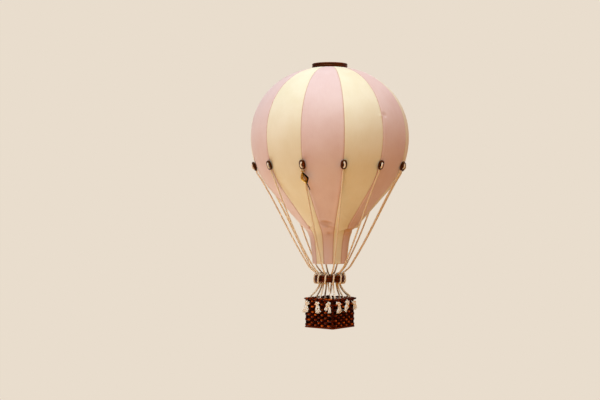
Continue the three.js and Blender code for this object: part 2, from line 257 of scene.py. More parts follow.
def smooth_path(stations, step):
    """A centripetal Catmull-Rom curve through the stations, at even steps.

    Each stretch blends the lines through its four nearest stations, whose knots are spaced by the square
    root of their distances.
    """
    p = with_straights(np.asarray(stations, float))
    p = np.vstack([2 * p[0] - p[1], p, 2 * p[-1] - p[-2]])
    knots = np.concatenate([[0], np.cumsum(np.sqrt(np.linalg.norm(np.diff(p, axis=0), axis=1)))])
    t0, t1, t2, t3 = (knots[i:len(knots) - 3 + i, None, None] for i in range(4))
    p0, p1, p2, p3 = (p[i:len(p) - 3 + i, None, :] for i in range(4))
    t = t1 + (t2 - t1) * np.linspace(0, 1, STRETCH_POINTS)[None, :, None]
    a1 = ((t1 - t) * p0 + (t - t0) * p1) / (t1 - t0)
    a2 = ((t2 - t) * p1 + (t - t1) * p2) / (t2 - t1)
    a3 = ((t3 - t) * p2 + (t - t2) * p3) / (t3 - t2)
    b1 = ((t2 - t) * a1 + (t - t0) * a2) / (t2 - t0)
    b2 = ((t3 - t) * a2 + (t - t1) * a3) / (t3 - t1)
    return evenly((((t2 - t) * b1 + (t - t1) * b2) / (t2 - t1)).reshape(-1, 3), step)


def swept(path, reference, section):
    """A section carried along a path and closed at both ends.

    section(along) gives, for each station's distance along the path, the section's points as two arrays of
    stations by corners, towards the reference direction and across it, and its named values. The reference
    is made square to the path at each station.
    """
    tangent = unit(np.gradient(path, axis=0))
    reference = np.broadcast_to(reference, path.shape)
    side = unit(reference - (reference * tangent).sum(1, keepdims=True) * tangent)
    across = np.cross(tangent, side)
    along = distances(path)
    first, second, values = section(along)
    points = path[:, None] + first[..., None] * side[:, None] + second[..., None] * across[:, None]
    columns = points.shape[1]
    ends = np.broadcast_to(path[[0, -1], None], (2, columns, 3))
    points = np.concatenate([ends[:1], points, ends[1:]])
    for name, value in values.items():
        values[name] = np.pad(np.broadcast_to(value, first.shape), ((1, 1), (0, 0)), "edge")
    turn = np.linspace(0, 1, columns, endpoint=False)
    return surface(points, stacked(np.pad(along, 1, "edge")[:, None] * MM, turn), **values)


def round_section(radius, sides):
    """A circle, whose radius may change from station to station."""
    angle = once_round(sides)

    def section(along):
        size = np.broadcast_to(radius, along.shape)[:, None]
        return size * np.cos(angle), size * np.sin(angle), {"hollow": 0.0}

    return section


# The twisted cord: three plies that lie against each other
PLIES = 3
PLY_POINTS = 5
TWIST_LENGTH = 4.6
PLY_GROOVE = 0.86


def ply_outline():
    """Angles and radii of three touching round plies, as shares of the cord's radius, and how deep they lie.

    From a ply's middle line the outline is c cos(a) + sqrt(p p - c c sin(a) sin(a)), where p is the ply's
    radius and c its distance from the cord's middle; the groove between two plies is filled up to a share.
    How deep a point lies darkens the cord's colour there, as painted shade.
    """
    ply = 1 / (1 + 1 / math.sin(math.pi / PLIES))
    centre = 1 - ply
    within = (np.arange(PLY_POINTS) / PLY_POINTS - 0.5) * 2 * np.pi / PLIES
    reach = centre * np.cos(within) + np.sqrt(np.maximum(ply ** 2 - (centre * np.sin(within)) ** 2, 0))
    reach = np.maximum(reach, PLY_GROOVE)
    angle = (once_round(PLIES)[:, None] + within).ravel()
    radius = np.tile(reach, PLIES)
    return angle, radius, (1 - radius) / (1 - PLY_GROOVE)


def cord_section(radius):
    """Three plies that turn once in each twist length."""
    angle, reach, hollow = ply_outline()

    def section(along):
        turned_by = angle + 2 * np.pi * along[:, None] / TWIST_LENGTH
        return radius * reach * np.cos(turned_by), radius * reach * np.sin(turned_by), {"hollow": hollow}

    return section


# Envelope outline, as in the frame's gores
EQUATOR_RADIUS = 99
EQUATOR_Z = -92.9
CROWN_RISE = 89.1
CROWN_POWER = 2.1
CONE_START = math.radians(41.3)
CREASE_Z = -204.6
MOUTH_Z = low("gore_01")[2]
MOUTH_RADIUS = 21.5
NECK_TAPER = 0.09
CREASE_FADE = 6.5
WALL = 2.2
CROWN_HOLE = 6.8
CROWN_SEAT_Z = -5.1

# Points worked out on the crown, the round part and the neck, the even step along them all, and its blur
CROWN_POINTS, ROUND_POINTS, NECK_POINTS = 200, 80, 100
OUTLINE_STEP = 1.0
OUTLINE_BLUR = {"reach": 4, "width": 1.8}


def envelope_outline():
    """Radii, heights and distances along the envelope's outline from the crown's hole to the mouth.

    A flattened ellipse of power 2.1 down to the widest place, a circle's arc, a straight cone, and a neck
    whose radius is an even taper plus a flare that fades below the crease.
    """
    crown = np.linspace(0, np.pi / 2, CROWN_POINTS)
    crown_radius = EQUATOR_RADIUS * np.sin(crown) ** (2 / CROWN_POWER)
    crown_z = EQUATOR_Z + CROWN_RISE * np.abs(np.cos(crown)) ** (2 / CROWN_POWER)
    kept = crown_radius > CROWN_HOLE
    below = np.linspace(0, CONE_START, ROUND_POINTS)[1:]
    round_radius = EQUATOR_RADIUS * np.cos(below)
    round_z = EQUATOR_Z - EQUATOR_RADIUS * np.sin(below)
    crease_radius = round_radius[-1] - (round_z[-1] - CREASE_Z) * math.tan(CONE_START)
    depth = np.linspace(0, CREASE_Z - MOUTH_Z, NECK_POINTS)
    taper_top = MOUTH_RADIUS + NECK_TAPER * (CREASE_Z - MOUTH_Z)
    neck_radius = taper_top - NECK_TAPER * depth + (crease_radius - taper_top) * np.exp(-depth / CREASE_FADE)
    radius = np.concatenate([[CROWN_HOLE], crown_radius[kept], round_radius, neck_radius])
    z = np.concatenate([[CROWN_SEAT_Z], np.minimum(crown_z[kept], CROWN_SEAT_Z), round_z, CREASE_Z - depth])
    line = evenly(stacked(radius, z, 0.0), OUTLINE_STEP)
    soft = stacked(blurred(line[:, 0], **OUTLINE_BLUR), blurred(line[:, 1], **OUTLINE_BLUR))
    soft[[0, -1]] = line[[0, -1], :2]
    return soft[:, 0], soft[:, 1], distances(soft)


# Places where the cloth is pinched or pulled: azimuth, height, half length round the envelope, tilt in
# degrees (up to the right), half width, and height of the fold (less than nothing is a hollow)
FOLDS = [
    (-7, -197.4, 7.0, -9, 1.9, -2.5),
    (-9, -202.4, 5.5, -22, 1.2, 2.7),
    (2, -204.2, 6.0, 12, 1.2, -1.3),
    (4, -207.0, 5.5, 6, 1.3, 1.1),
    (-2, -212.0, 2.6, -10, 1.7, -1.8),
    (-2, -216.0, 4.5, 5, 1.9, 0.7),
    (50, -202.2, 9.0, 20, 1.5, 2.8),
    (52, -206.4, 8.0, 17, 1.4, -2.4),
    (56, -210.0, 6.5, 12, 1.4, 1.1),
    (57, -213.6, 5.0, 24, 1.6, -0.9),
    (44, -218.0, 4.0, 60, 1.6, 0.6),
    (-47, -203.8, 4.5, 10, 1.5, -1.7),
    (-44, -207.6, 3.5, -20, 1.3, 1.1),
    (-56, -206.0, 4.5, 30, 1.4, 1.0),
    (26, -192.0, 2.0, 62, 7.0, 0.35),
    (42.6, -69.6, 2.2, 60, 2.6, -1.1),
    (39.0, -70.5, 1.4, 90, 2.6, 0.6),
    (116, -203.0, 8.0, -14, 1.6, -1.9),
    (114, -207.0, 6.0, -20, 1.3, 1.4),
    (84, -203.4, 9.0, -8, 1.6, 1.8),
    (86, -208.4, 9.0, -4, 2.0, -1.8),
    (172, -203.2, 7.0, 12, 1.6, -1.6),
    (176, -206.8, 6.0, 18, 1.3, 1.3),
    (236, -203.4, 8.0, -10, 1.7, -1.8),
    (234, -207.4, 5.0, -18, 1.3, 1.2),
]


def fold_lift(azimuth, radius, z):
    """How far the folds push the cloth out, in millimetres: each is a long soft ridge or hollow."""
    lift = 0.0
    for place, height, half_length, tilt, half_width, rise in FOLDS:
        turn = (azimuth - place + 180) % 360 - 180
        across = radius * np.radians(turn)
        upwards = z - height
        angle = math.radians(tilt)
        along = across * math.cos(angle) + upwards * math.sin(angle)
        beside = upwards * math.cos(angle) - across * math.sin(angle)
        lift = lift + rise * bell(along, half_length) * bell(beside, half_width)
    return lift


GORE_COLUMNS = 27

# The seams' grooves, deeper and wider on the neck and shallow under the cap; the opening is in degrees. The
# seams' darker colour, for the sewn joints, also widens on the neck as painted shade of the deeper creases
SEAM_OPENING = 0.02
SEAM_DEPTH = 0.26
SEAM_HALF_WIDTH = 0.35
NECK_SEAM_MORE = 0.3
NECK_SEAM_FADE = 14
CROWN_SEAM_DEPTH = 0.2

# The padded ridge beside a seam, and how high it stands on each colour of cloth
PUFF = {"pink": 0.42, "cream": 0.2}
PUFF_PLACE = 2.4
PUFF_HALF_WIDTH = 1.7

# The ripples along and beside a seam: height as a share of the ridge's, length, wandering, and fade
RIPPLES_ALONG = (0.16, 7.5, 2.5, 3.5)
RIPPLES_BESIDE = (0.22, 5.5, 0.7, 7)

HEM_WIDTH = 3.6
HEM_RISE = 0.25
HEM_SLOPE = 0.8

# The cloth is smooth within this radius of the crown, and eases into its ripples outside it
SMOOTH_CROWN = 26
CROWN_EASE = 20

# The lining follows the cloth outwards no further than this
LINING_LIFT = 0.6


def gore_shape(index, kind):
    """One cloth panel: the outline turned through a twelfth of a circle, lifted and sunk by its sewing.

    The lift is the sum of a narrow seam groove at both edges, a padded ridge beside it, faint ripples that
    run beside and across the seam and die out away from it, a thicker hem at the mouth, and the folds.
    """
    radius, z, along = (value[:, None] for value in envelope_outline())
    share = (1 - np.cos(np.pi * np.linspace(0, 1, GORE_COLUMNS)))[None, :] / 2
    azimuth = seam_azimuth(index) + SEAM_OPENING / 2 + (SEAM_STEP - SEAM_OPENING) * share
    width = radius * math.radians(SEAM_STEP)
    edge = width * np.minimum(share, 1 - share)
    puff = PUFF[kind]
    wander = np.sin(along / 23 + 2 * index) + 0.6 * np.sin(along / 11 + 5 * index)
    on_neck = np.clip((CREASE_Z + NECK_SEAM_FADE - z) / NECK_SEAM_FADE, 0, 1)
    # The seam mask colours the sewn joint darker; its wider band on the neck is painted shade
    seam = bell(edge, SEAM_HALF_WIDTH + NECK_SEAM_MORE * on_neck)
    lift = puff * bell(edge - PUFF_PLACE, PUFF_HALF_WIDTH) - (SEAM_DEPTH + NECK_SEAM_MORE * on_neck) * seam
    for wave, place, ripples in ((np.sin, along, RIPPLES_ALONG), (np.cos, edge, RIPPLES_BESIDE)):
        height, length, drift, fade = ripples
        ripple = wave(2 * np.pi * place / length + drift * wander)
        lift = lift + height * puff * ripple * np.exp(-edge / fade)
    lift = lift + HEM_RISE * np.clip((along - along[-1] + HEM_WIDTH) / HEM_SLOPE, 0, 1)
    eased = np.clip((radius - SMOOTH_CROWN) / CROWN_EASE, 0, 1)
    lift = lift * eased - CROWN_SEAM_DEPTH * (1 - eased) * bell(edge, SEAM_HALF_WIDTH)
    lift = lift + fold_lift(azimuth, radius, z)
    run = np.gradient(stacked(radius[:, 0], z[:, 0]), axis=0)
    normal_out, normal_up = unit(stacked(-run[:, 1], run[:, 0])).T[:, :, None]

    def skin(distance):
        return spot(azimuth, radius + distance * normal_out, 0.0, z + distance * normal_up)

    outer = skin(lift)
    inner = skin(np.minimum(lift, LINING_LIFT) - WALL)
    flat = stacked((share - 0.5) * width, along) * MM
    return slab(outer, inner, (outer + inner) / 2, flat, seam=seam)


# Beads: half sizes across, up and out, and the two holes and the dish in the face
BEAD_ANGLE = 20.8
BEAD_HALF = (3.9, 5.9, 2.25)
BEAD_GAP = 0.3
BEAD_SQUARENESS = 2.6
BEAD_ROWS = 41
BEAD_COLUMNS = 48
HOLE_PLACE = 2.9
HOLE_RADIUS = 1.25
HOLE_DEPTH_SHARE = 0.95
DISH_DEPTH = 1.2
DISH_HALF_WIDTH = 2.0
DISH_HALF_LENGTH = 3.6

# A painted highlight on the bead's face, a little right of its middle
PAINTED_HIGHLIGHT_PLACE = 0.8
PAINTED_HIGHLIGHT_HALF_WIDTH = 1.3


def bead_frame(azimuth):
    """A bead's three directions, across, up the seam and out, and its place on the envelope's surface."""
    slope = math.radians(BEAD_ANGLE)
    across = sideways(azimuth)
    out = outwards(azimuth) * math.cos(slope) - UP * math.sin(slope)
    up = np.cross(out, across)
    return across, up, out, out * EQUATOR_RADIUS + UP * EQUATOR_Z


def in_bead(azimuth, points):
    """Points given as across, up and out of a bead, put in the balloon's frame."""
    across, up, out, place = bead_frame(azimuth)
    return points @ np.stack([across, up, out]) + place


def bead_shape(azimuth, bow):
    """A squarish ellipsoid, dished between the two round holes that are sunk into its face for the cord.

    The dish lies to one side where the cord's stitch bows. Its colour has painted shade in its holes, a
    little in its dish and towards its edge, and a painted highlight a little right of the middle of its face.
    """
    polar = np.linspace(0, np.pi, BEAD_ROWS)[:, None]
    turn = once_round(BEAD_COLUMNS)[None, :]
    exponent = 2 / BEAD_SQUARENESS
    ring = power(np.sin(polar), exponent)
    x = BEAD_HALF[0] * ring * power(np.cos(turn), exponent)
    y = BEAD_HALF[1] * power(np.cos(polar), exponent) * np.ones_like(turn)
    z = BEAD_HALF[2] * ring * power(np.sin(turn), exponent)
    face = z > 0
    sunk = np.exp(-(np.hypot(x, np.abs(y) - HOLE_PLACE) / HOLE_RADIUS) ** 6) * face
    dish = np.exp(-((x - bow) / DISH_HALF_WIDTH) ** 4 - (y / DISH_HALF_LENGTH) ** 6) * face
    z = (z - DISH_DEPTH * dish) * (1 - HOLE_DEPTH_SHARE * sunk)
    # Painted light: a painted highlight right of the face's middle, and painted shade in the holes, the dish
    # and towards the edge
    painted_highlight = bell(np.hypot(x - PAINTED_HIGHLIGHT_PLACE, y / 2), PAINTED_HIGHLIGHT_HALF_WIDTH) * (z > 0)
    shade = sunk + 0.3 * dish + 0.8 * (1 - z / BEAD_HALF[2]) ** 2 - 0.45 * painted_highlight
    return surface(in_bead(azimuth, stacked(x, y, z + BEAD_HALF[2] + BEAD_GAP)), hollow=shade)


# Cords: the stations repeat the frame's own
CORD_RADIUS = 1.12
CORD_STEP = 0.55
RING_TWIST = 3.5
RING_Z = (low("load_ring")[2] + high("load_ring")[2]) / 2
RING_SECTION_RADIUS = 16.1
BASKET_TURN = -38.6
BASKET_SIDE = 42.4
RIM_Z = (low("basket_rim")[2] + high("basket_rim")[2]) / 2
KNOT_OUT = 3.4
KNOT_Z = -299

# The stitch on a bead, as up and out in the bead's frame, drawn down into the bead's dish
STITCH = [
    (3.3, 2.4),
    (2.9, 4.0),
    (1.1, 4.9),
    (-1.1, 4.9),
    (-2.9, 4.0),
    (-3.9, 1.9),
    (-5.9, 1.75),
    (-7.8, 2.35),
]

# How far some stitches bow sideways on their beads
STITCH_BOWS = {1: 0.7, 2: -1.1, 3: 0.9, 4: -0.7, 7: 0.5, 9: -0.5}

# The round turn on the load ring, as out, side and up from the middle of the ring's section
ROUND_TURN = [
    (9.6, -1.6, 14.4),
    (0.6, -1.5, 7.0),
    (-3.2, -1.4, 5.0),
    (-3.95, -1.2, 0),
    (-3.2, -1.0, -4.9),
    (0, -0.8, -5.65),
    (3.2, -0.6, -4.8),
    (4.0, 0, 0),
    (3.2, 0.6, 4.8),
    (0, 1.0, 5.65),
    (-3.2, 1.3, 5.0),
    (-3.95, 1.4, -2.6),
]

# The long run from a bead to the ring hangs outwards by this much, most at two thirds of the way down
LONG_RUN_BOW = 3
LONG_RUN_STEPS = 14

# How much more or less some cords hang out, at the middle of their long run
LONG_RUN_MORE = {0: -2.6, 1: 1.6, 4: -2.0, 5: -1.4, 6: -1.6, 11: -5.0}

# The way past the rim and out through the wall, as out from the middle of the wall, and height
WAY_OUT = [(-2.95, RIM_Z + 2.4), (-2.95, RIM_Z - 1.2), (-0.2, -298.2), (KNOT_OUT, KNOT_Z)]

# The lower run from the ring bows down before it spreads out to the rim
LOWER_RUN_DROP = 9
LOWER_RUN_SHARES = (0.35, 0.7)

# Each cord's place on its basket side, as a share of it from the left; one row a side
TIE_PLACES = [(0.11, 0.49, 0.9), (0.19, 0.59, 0.92), (0.16, 0.48, 0.835), (0.19, 0.56, 0.86)]

# Each cord's frayed tails, as lean in degrees to the right of straight down, and length
TAILS = [
    [(-30, 14), (-4, 12)],
    [(-6, 12.5), (28, 11.5)],
    [(-36, 9.5), (20, 11)],
    [(0, 12), (32, 12)],
    [(-30, 11.5), (8, 8)],
    [(14, 10), (44, 9.5)],
    [(-24, 11), (12, 12)],
    [(-10, 12.5), (26, 10)],
    [(-32, 10.5), (6, 12.5)],
    [(-16, 12), (24, 11)],
    [(-28, 11), (10, 12)],
    [(-8, 12), (34, 10.5)],
]

# Short ears of cord that stick out of some knots, as lean and length
EARS = {1: [(-100, 3.2)], 2: [(115, 3.4)], 3: [(-118, 4.6)], 4: [(160, 4.2), (104, 4.4)], 5: [(70, 4.2)]}


def tie_of(index):
    """The azimuth of the basket side that a cord is tied to, and the tie's place along it."""
    side = index // 3
    return BASKET_TURN + 90 * side, (TIE_PLACES[side][index % 3] - 0.5) * BASKET_SIDE


def cord_path(index):
    """The cord's middle line: stitch, long run, round turn, lower run, and out through the wall.

    At a share s of the long run's way, every cord bows out by its greatest bow times 27/4 s s (1 - s), and
    some by their own bow times 4 s (1 - s) more.
    """
    azimuth = seam_azimuth(index)
    up, out = np.array(STITCH).T
    bow = STITCH_BOWS.get(index, 0) * np.maximum(1 - (up / STITCH[0][0]) ** 2, 0)
    stitch = in_bead(azimuth, stacked(bow, up, out))
    out, side, up = np.array(ROUND_TURN).T
    turn = spot(azimuth + RING_TWIST, RING_SECTION_RADIUS + out, side, RING_Z + up)
    share = (np.arange(1, LONG_RUN_STEPS) / LONG_RUN_STEPS)[:, None]
    bow = LONG_RUN_BOW * 27 / 4 * share ** 2 * (1 - share)
    bow = bow + LONG_RUN_MORE.get(index, 0) * 4 * share * (1 - share)
    long_run = stitch[-1] + (turn[0] - stitch[-1]) * share + bow * outwards(azimuth)
    tie_azimuth, tie_side = tie_of(index)
    out, z = np.array(WAY_OUT).T
    way_out = spot(tie_azimuth, BASKET_SIDE / 2 + out, tie_side, z)
    under = turn[-1] - LOWER_RUN_DROP * UP
    lower = quadratic(np.array(LOWER_RUN_SHARES)[:, None], turn[-1], under, way_out[0])
    return smooth_path(np.concatenate([stitch, long_run, turn, lower, way_out]), CORD_STEP)


# Knots and frayed tails
KNOT_HALF = (2.4, 1.1, 1.8)
KNOT_CORD_RADIUS = 1.0
KNOT_POINTS = 100
YARNS = 10
YARN_RADIUS = 0.47
YARN_POINTS = 15
TAIL_SPREAD = (0.8, 2.4)
FULL_SPREAD_LENGTH = 9
DROOP_SHARE = 0.55

# How far and how fast a tail waves sideways and outwards, and how its yarns turn, end early and thin out
TAIL_CURL = (0.9, 6.5)
TAIL_BEND = (0.35, 5)
YARN_ANGLE = 2.4
YARN_TURN = 1.1
YARN_WAVE = 0.6
YARN_SHORTER = 0.12
YARN_THINNER = 0.45


def in_tie(index, points):
    """Points given as side, out and up from a knot's middle, put in the balloon's frame."""
    azimuth, along = tie_of(index)
    middle = spot(azimuth, BASKET_SIDE / 2 + KNOT_OUT, along, KNOT_Z)
    return points @ np.stack([sideways(azimuth), outwards(azimuth), UP]) + middle


def knot_shape(index, draw):
    """An overhand knot pulled tight: the trefoil curve (sin t + 2 sin 2t, sin 3t, cos t - 2 cos 2t)."""
    t = np.linspace(0, 2 * np.pi, KNOT_POINTS)
    curve = stacked((np.sin(t) + 2 * np.sin(2 * t)) / 3, np.sin(3 * t), (np.cos(t) - 2 * np.cos(2 * t)) / 3)
    turn = draw.uniform(0, 2 * np.pi)
    x, out, up = curve.T * np.array(KNOT_HALF)[:, None] * draw.uniform(0.92, 1.08, (3, 1))
    x, up = x * math.cos(turn) - up * math.sin(turn), x * math.sin(turn) + up * math.cos(turn)
    path = in_tie(index, stacked(x, out, up))
    return swept(path, outwards(tie_of(index)[0]) + 0.2 * UP, cord_section(KNOT_CORD_RADIUS))


def tail_shapes(index, lean, length, draw):
    """A tail of the cord come undone: yarns that leave the knot close together and spread towards the end.

    Each yarn's distance from the tail's middle grows with the square of the distance along it, and the yarn
    waves a little; the tail's middle line bends down under its own weight.
    """
    share = np.linspace(0, 1, YARN_POINTS)
    angle = math.radians(lean)
    droop = angle * DROOP_SHARE if abs(lean) < 90 else angle
    turn = angle + (droop - angle) * share
    step = length * np.gradient(share)
    curl = TAIL_CURL[0] * np.sin(share * TAIL_CURL[1] + draw.uniform(0, 6)) * share
    x = np.cumsum(np.sin(turn) * step) - np.sin(turn[0]) * step[0] + curl * math.cos(angle)
    up = -np.cumsum(np.cos(turn) * step) + np.cos(turn[0]) * step[0] + curl * math.sin(angle)
    out = -0.5 * share + TAIL_BEND[0] * np.sin(share * TAIL_BEND[1] + draw.uniform(0, 6))
    spread_end = TAIL_SPREAD[1] * min(1, length / FULL_SPREAD_LENGTH)
    shapes = []
    for yarn in range(YARNS):
        place = math.sqrt((yarn + 0.5) / YARNS)
        around = YARN_ANGLE * yarn + draw.uniform(-0.3, 0.3) + YARN_TURN * (1 - share)
        reach = place * (TAIL_SPREAD[0] + (spread_end - TAIL_SPREAD[0]) * share ** 2)
        wave = YARN_WAVE * share * np.sin(share * draw.uniform(5, 10) + draw.uniform(0, 6))
        side = reach * np.cos(around) + wave
        end = share * (1 - YARN_SHORTER * draw.uniform(0, 1))
        path = in_tie(index, stacked(
            np.interp(end, share, x) + side * math.cos(angle),
            np.interp(end, share, out) + reach * np.sin(around) * 0.8,
            np.interp(end, share, up) + side * math.sin(angle),
        ))
        thickness = YARN_RADIUS * (1 - YARN_THINNER * share ** 3)
        strand = swept(path, outwards(tie_of(index)[0]), round_section(thickness, 6))
        shapes.append(toned(strand, hollow=draw.uniform(-1.2, 0.2)))
    return shapes


def cord_shape(index):
    """The whole cord, its knot, its tails and its ears."""
    draw = np.random.default_rng(100 + index)
    shapes = [swept(cord_path(index), sideways(seam_azimuth(index)), cord_section(CORD_RADIUS))]
    shapes.append(knot_shape(index, draw))
    for lean, length in TAILS[index] + EARS.get(index, []):
        shapes += tail_shapes(index, lean, length, draw)
    return joined(shapes)


# Turned wood: outlines of radius and height, rounded at their corners and turned about the axis

# A corner's rounding takes no more than this share of the straight on either side
ROUNDING_LIMIT = 0.48
TURNED_SEGMENTS = 120


def rounded(corners, steps):
    """A closed outline from corners of radius, height and rounding.

    Each corner is replaced by a small curve that starts and ends its rounding away from it.
    """
    corners = np.array(corners, float)
    places = corners[:, :2]
    share = np.linspace(0, 1, steps)[:, None]
    found = []
    for corner, rounding, previous, following in zip(
            places, corners[:, 2], np.roll(places, 1, axis=0), np.roll(places, -1, axis=0)):
        before = previous - corner
        after = following - corner
        start = corner + before * min(rounding / np.linalg.norm(before), ROUNDING_LIMIT)
        end = corner + after * min(rounding / np.linalg.norm(after), ROUNDING_LIMIT)
        found.append(quadratic(share, start, corner, end))
    return np.concatenate(found)


def dense(outline, step):
    """A closed outline with points at most a step apart."""
    closed = np.vstack([outline, outline[:1]])
    parts = []
    for before, after in zip(closed[:-1], closed[1:]):
        count = max(1, math.ceil(np.linalg.norm(after - before) / step))
        parts.append(before + (after - before) * np.arange(count)[:, None] / count)
    return np.concatenate(parts)


def turned(radius, z, hollow):
    """A closed outline of radii and heights, carried once round the axis."""
    azimuth = np.degrees(once_round(TURNED_SEGMENTS))
    radius, z, hollow = (np.append(value, value[:1])[:, None] for value in (radius, z, hollow))
    return surface(spot(azimuth[None, :], radius, 0.0, z), hollow=hollow)


CAP_RADIUS = high("top_cap")[0]
CAP_THICKNESS = 4.8
CAP_DRAFT = 0.1
GROOVE_HALF_WIDTH = 0.35
GROOVE_DEPTH = 1.0
SPIGOT_RADIUS = 6.5
SPIGOT_Z = low("top_cap")[2]
LINE_HOLE_RADIUS = 1.2

# The fine rings that the turning left on the cap's top
TURNING_DEPTH = 0.05
TURNING_RATE = 3.1


def cap_shape():
    """The cap: two steps with a groove between them, a spigot below, and a hole for the line."""
    edge = CAP_RADIUS - CAP_DRAFT
    groove_foot = CAP_RADIUS - GROOVE_DEPTH
    groove_top = -CAP_THICKNESS / 2 + GROOVE_HALF_WIDTH
    groove_bottom = -CAP_THICKNESS / 2 - GROOVE_HALF_WIDTH
    outline = rounded([
        (LINE_HOLE_RADIUS, 0, 0.4),
        (edge, 0, 0.9),
        (CAP_RADIUS, groove_top, 0.6),
        (groove_foot, groove_top - CAP_DRAFT, 0.15),
        (groove_foot, groove_bottom + CAP_DRAFT, 0.15),
        (edge, groove_bottom, 0.6),
        (edge, -CAP_THICKNESS, 0.8),
        (SPIGOT_RADIUS, -CAP_THICKNESS, 0.3),
        (SPIGOT_RADIUS, SPIGOT_Z, 0.5),
        (LINE_HOLE_RADIUS, SPIGOT_Z, 0.3),
    ], 5)
    radius, z = dense(outline, 0.9).T
    rings = TURNING_DEPTH * (np.cos(radius * TURNING_RATE) - 1) * (z > -0.02)
    # Painted shade in the groove between the cap's two steps
    hollow = bell(z + rings + CAP_THICKNESS / 2, GROOVE_HALF_WIDTH) * (radius > CAP_RADIUS - 1.5)
    return turned(radius, z + rings, hollow)


RING_RADIUS = high("load_ring")[0] + 0.35
RING_WIDTH = 5
RING_HALF_HEIGHT = (high("load_ring")[2] - low("load_ring")[2]) / 2
RING_ROUNDING = 2.3

# The lines turned into the ring's outside, which are also painted with shade
RING_LINES = (-1.9, 0.1, 2.1)
RING_LINE_HALF_WIDTH = 0.28
RING_LINE_DEPTH = 0.22


def ring_shape():
    """The load ring: a tall rounded section with three fine lines turned into its outside."""
    inside, bottom, top = RING_RADIUS - RING_WIDTH, RING_Z - RING_HALF_HEIGHT, RING_Z + RING_HALF_HEIGHT
    places = [(RING_RADIUS, bottom), (RING_RADIUS, top), (inside, top), (inside, bottom)]
    radius, z = dense(rounded([place + (RING_ROUNDING,) for place in places], 8), 0.3).T
    lines = sum(bell(z - RING_Z - place, RING_LINE_HALF_WIDTH) for place in RING_LINES)
    outside = radius > RING_RADIUS - 1.2
    # The lines are cut into the outline and also painted with shade
    return turned(radius - RING_LINE_DEPTH * lines * outside, z, np.clip(lines, 0, 1) * outside)


# Basket: weavers that run all the way round, in and out of the stakes and the corner posts
STAKES_A_SIDE = 8
WEAVER_ROWS = 10
WEAVER_SIDES = 12
WEAVER_SWING = 1.1
CORNER_SWING = 1.2
WEAVER_HALF_HEIGHT = 1.66
WEAVER_HALF_THICKNESS = 0.66
STAKE_RADIUS = 0.72
POST_RADIUS = 1.15
CORNER_RADIUS = 1.9
WALL_BOTTOM = low("basket_wall_front_left")[2]
WALL_TOP = high("basket_wall_front_left")[2]
WEAVE_TOP = RIM_Z - 1.2
ROW_PITCH = (WEAVE_TOP - WALL_BOTTOM) / WEAVER_ROWS
SIDE_LENGTH = BASKET_SIDE - 2 * CORNER_RADIUS + math.pi / 2 * CORNER_RADIUS


def on_basket(stake, off):
    """Points and outward directions on the basket's rounded square, at a stake's number and a distance off.

    Stakes are counted all round from the left corner. A side is straight, and at its ends the path turns
    through an eighth of a circle to the corner's middle.
    """
    stake, off = np.broadcast_arrays(np.asarray(stake, float), np.asarray(off, float))
    side = np.floor_divide(stake, STAKES_A_SIDE)
    place = (stake / STAKES_A_SIDE - side - 0.5) * SIDE_LENGTH
    straight = BASKET_SIDE / 2 - CORNER_RADIUS
    bend = np.maximum(np.abs(place) - straight, 0) / CORNER_RADIUS
    sign = np.sign(place)
    x = np.clip(place, -straight, straight) + sign * (CORNER_RADIUS + off) * np.sin(bend)
    out = straight + (CORNER_RADIUS + off) * np.cos(bend)
    azimuth = BASKET_TURN + 90 * side
    return spot(azimuth, out, x, 0.0), spot(azimuth, np.cos(bend), sign * np.sin(bend), 0.0)


def from_corner(stake):
    """How many stakes away the nearest corner post is."""
    return np.abs((stake + STAKES_A_SIDE / 2) % STAKES_A_SIDE - STAKES_A_SIDE / 2)


def weaver_shape(row, draw):
    """One weaver: a flat cane whose distance from the wall's middle swings as a cosine over the stakes.

    From the last stake of a side to the first of the next it stays on one side of the corner post. It has a
    painted highlight on the side where it passes over a stake, and painted shade at its edges.
    """
    count = 4 * STAKES_A_SIDE
    stake = np.linspace(0, count, count * 10 + 1)
    corner = bell(from_corner(stake), 0.7)
    swing = WEAVER_SWING + (CORNER_SWING - WEAVER_SWING) * corner
    phase = -np.cos(np.pi * np.maximum(from_corner(stake), 1)) * (-1) ** row
    path, away = on_basket(stake, swing * power(phase, 0.8))
    uneven = 0.12 * np.sin(stake * 0.83 + 2.1 * row) + 0.08 * np.sin(stake * 2.3 + row)
    path = path + (WALL_BOTTOM + ROW_PITCH * (row + 0.5) + uneven)[:, None] * UP
    angle = once_round(WEAVER_SIDES)
    height = WEAVER_HALF_HEIGHT * (1 + 0.06 * np.sin(stake * 1.7 + 3 * row))
    tall = height[:, None] * power(np.sin(angle), 0.8)
    thick = WEAVER_HALF_THICKNESS * power(np.cos(angle), 0.9)
    points = path[:, None] + tall[..., None] * UP + thick[None, :, None] * away[:, None]
    # Painted light: a highlight on the bulge over each stake, on either face, and painted shade towards the
    # cane's edges
    lit = 0.0
    for side in (1, -1):
        over = (0.5 + 0.5 * side * phase) * (1 - 0.5 * corner)
        lit = lit + over[:, None] * np.maximum(side * np.cos(angle), 0) ** 1.8
    flat = stacked((stake * SIDE_LENGTH / STAKES_A_SIDE * MM)[:, None], angle / (2 * np.pi))
    return surface(points, flat, hollow=1 - lit, strand=draw.uniform(0, 1))


def walls_shape():
    """All the weavers, row over row."""
    draw = np.random.default_rng(7)
    return joined([weaver_shape(row, draw) for row in range(WEAVER_ROWS)])


def stick_shape(foot, top, radius, draw):
    """A round willow stick between two places, with an uneven thickness."""
    share = np.linspace(0, 1, 16)
    path = foot + (top - foot) * share[:, None]
    uneven = radius * (1 + 0.05 * np.sin(share * 9 + draw.uniform(0, 6)))
    stick = swept(path, np.array([1.0, 0.3, 0.0]), round_section(uneven, 12))
    return toned(stick, strand=draw.uniform(0, 1))


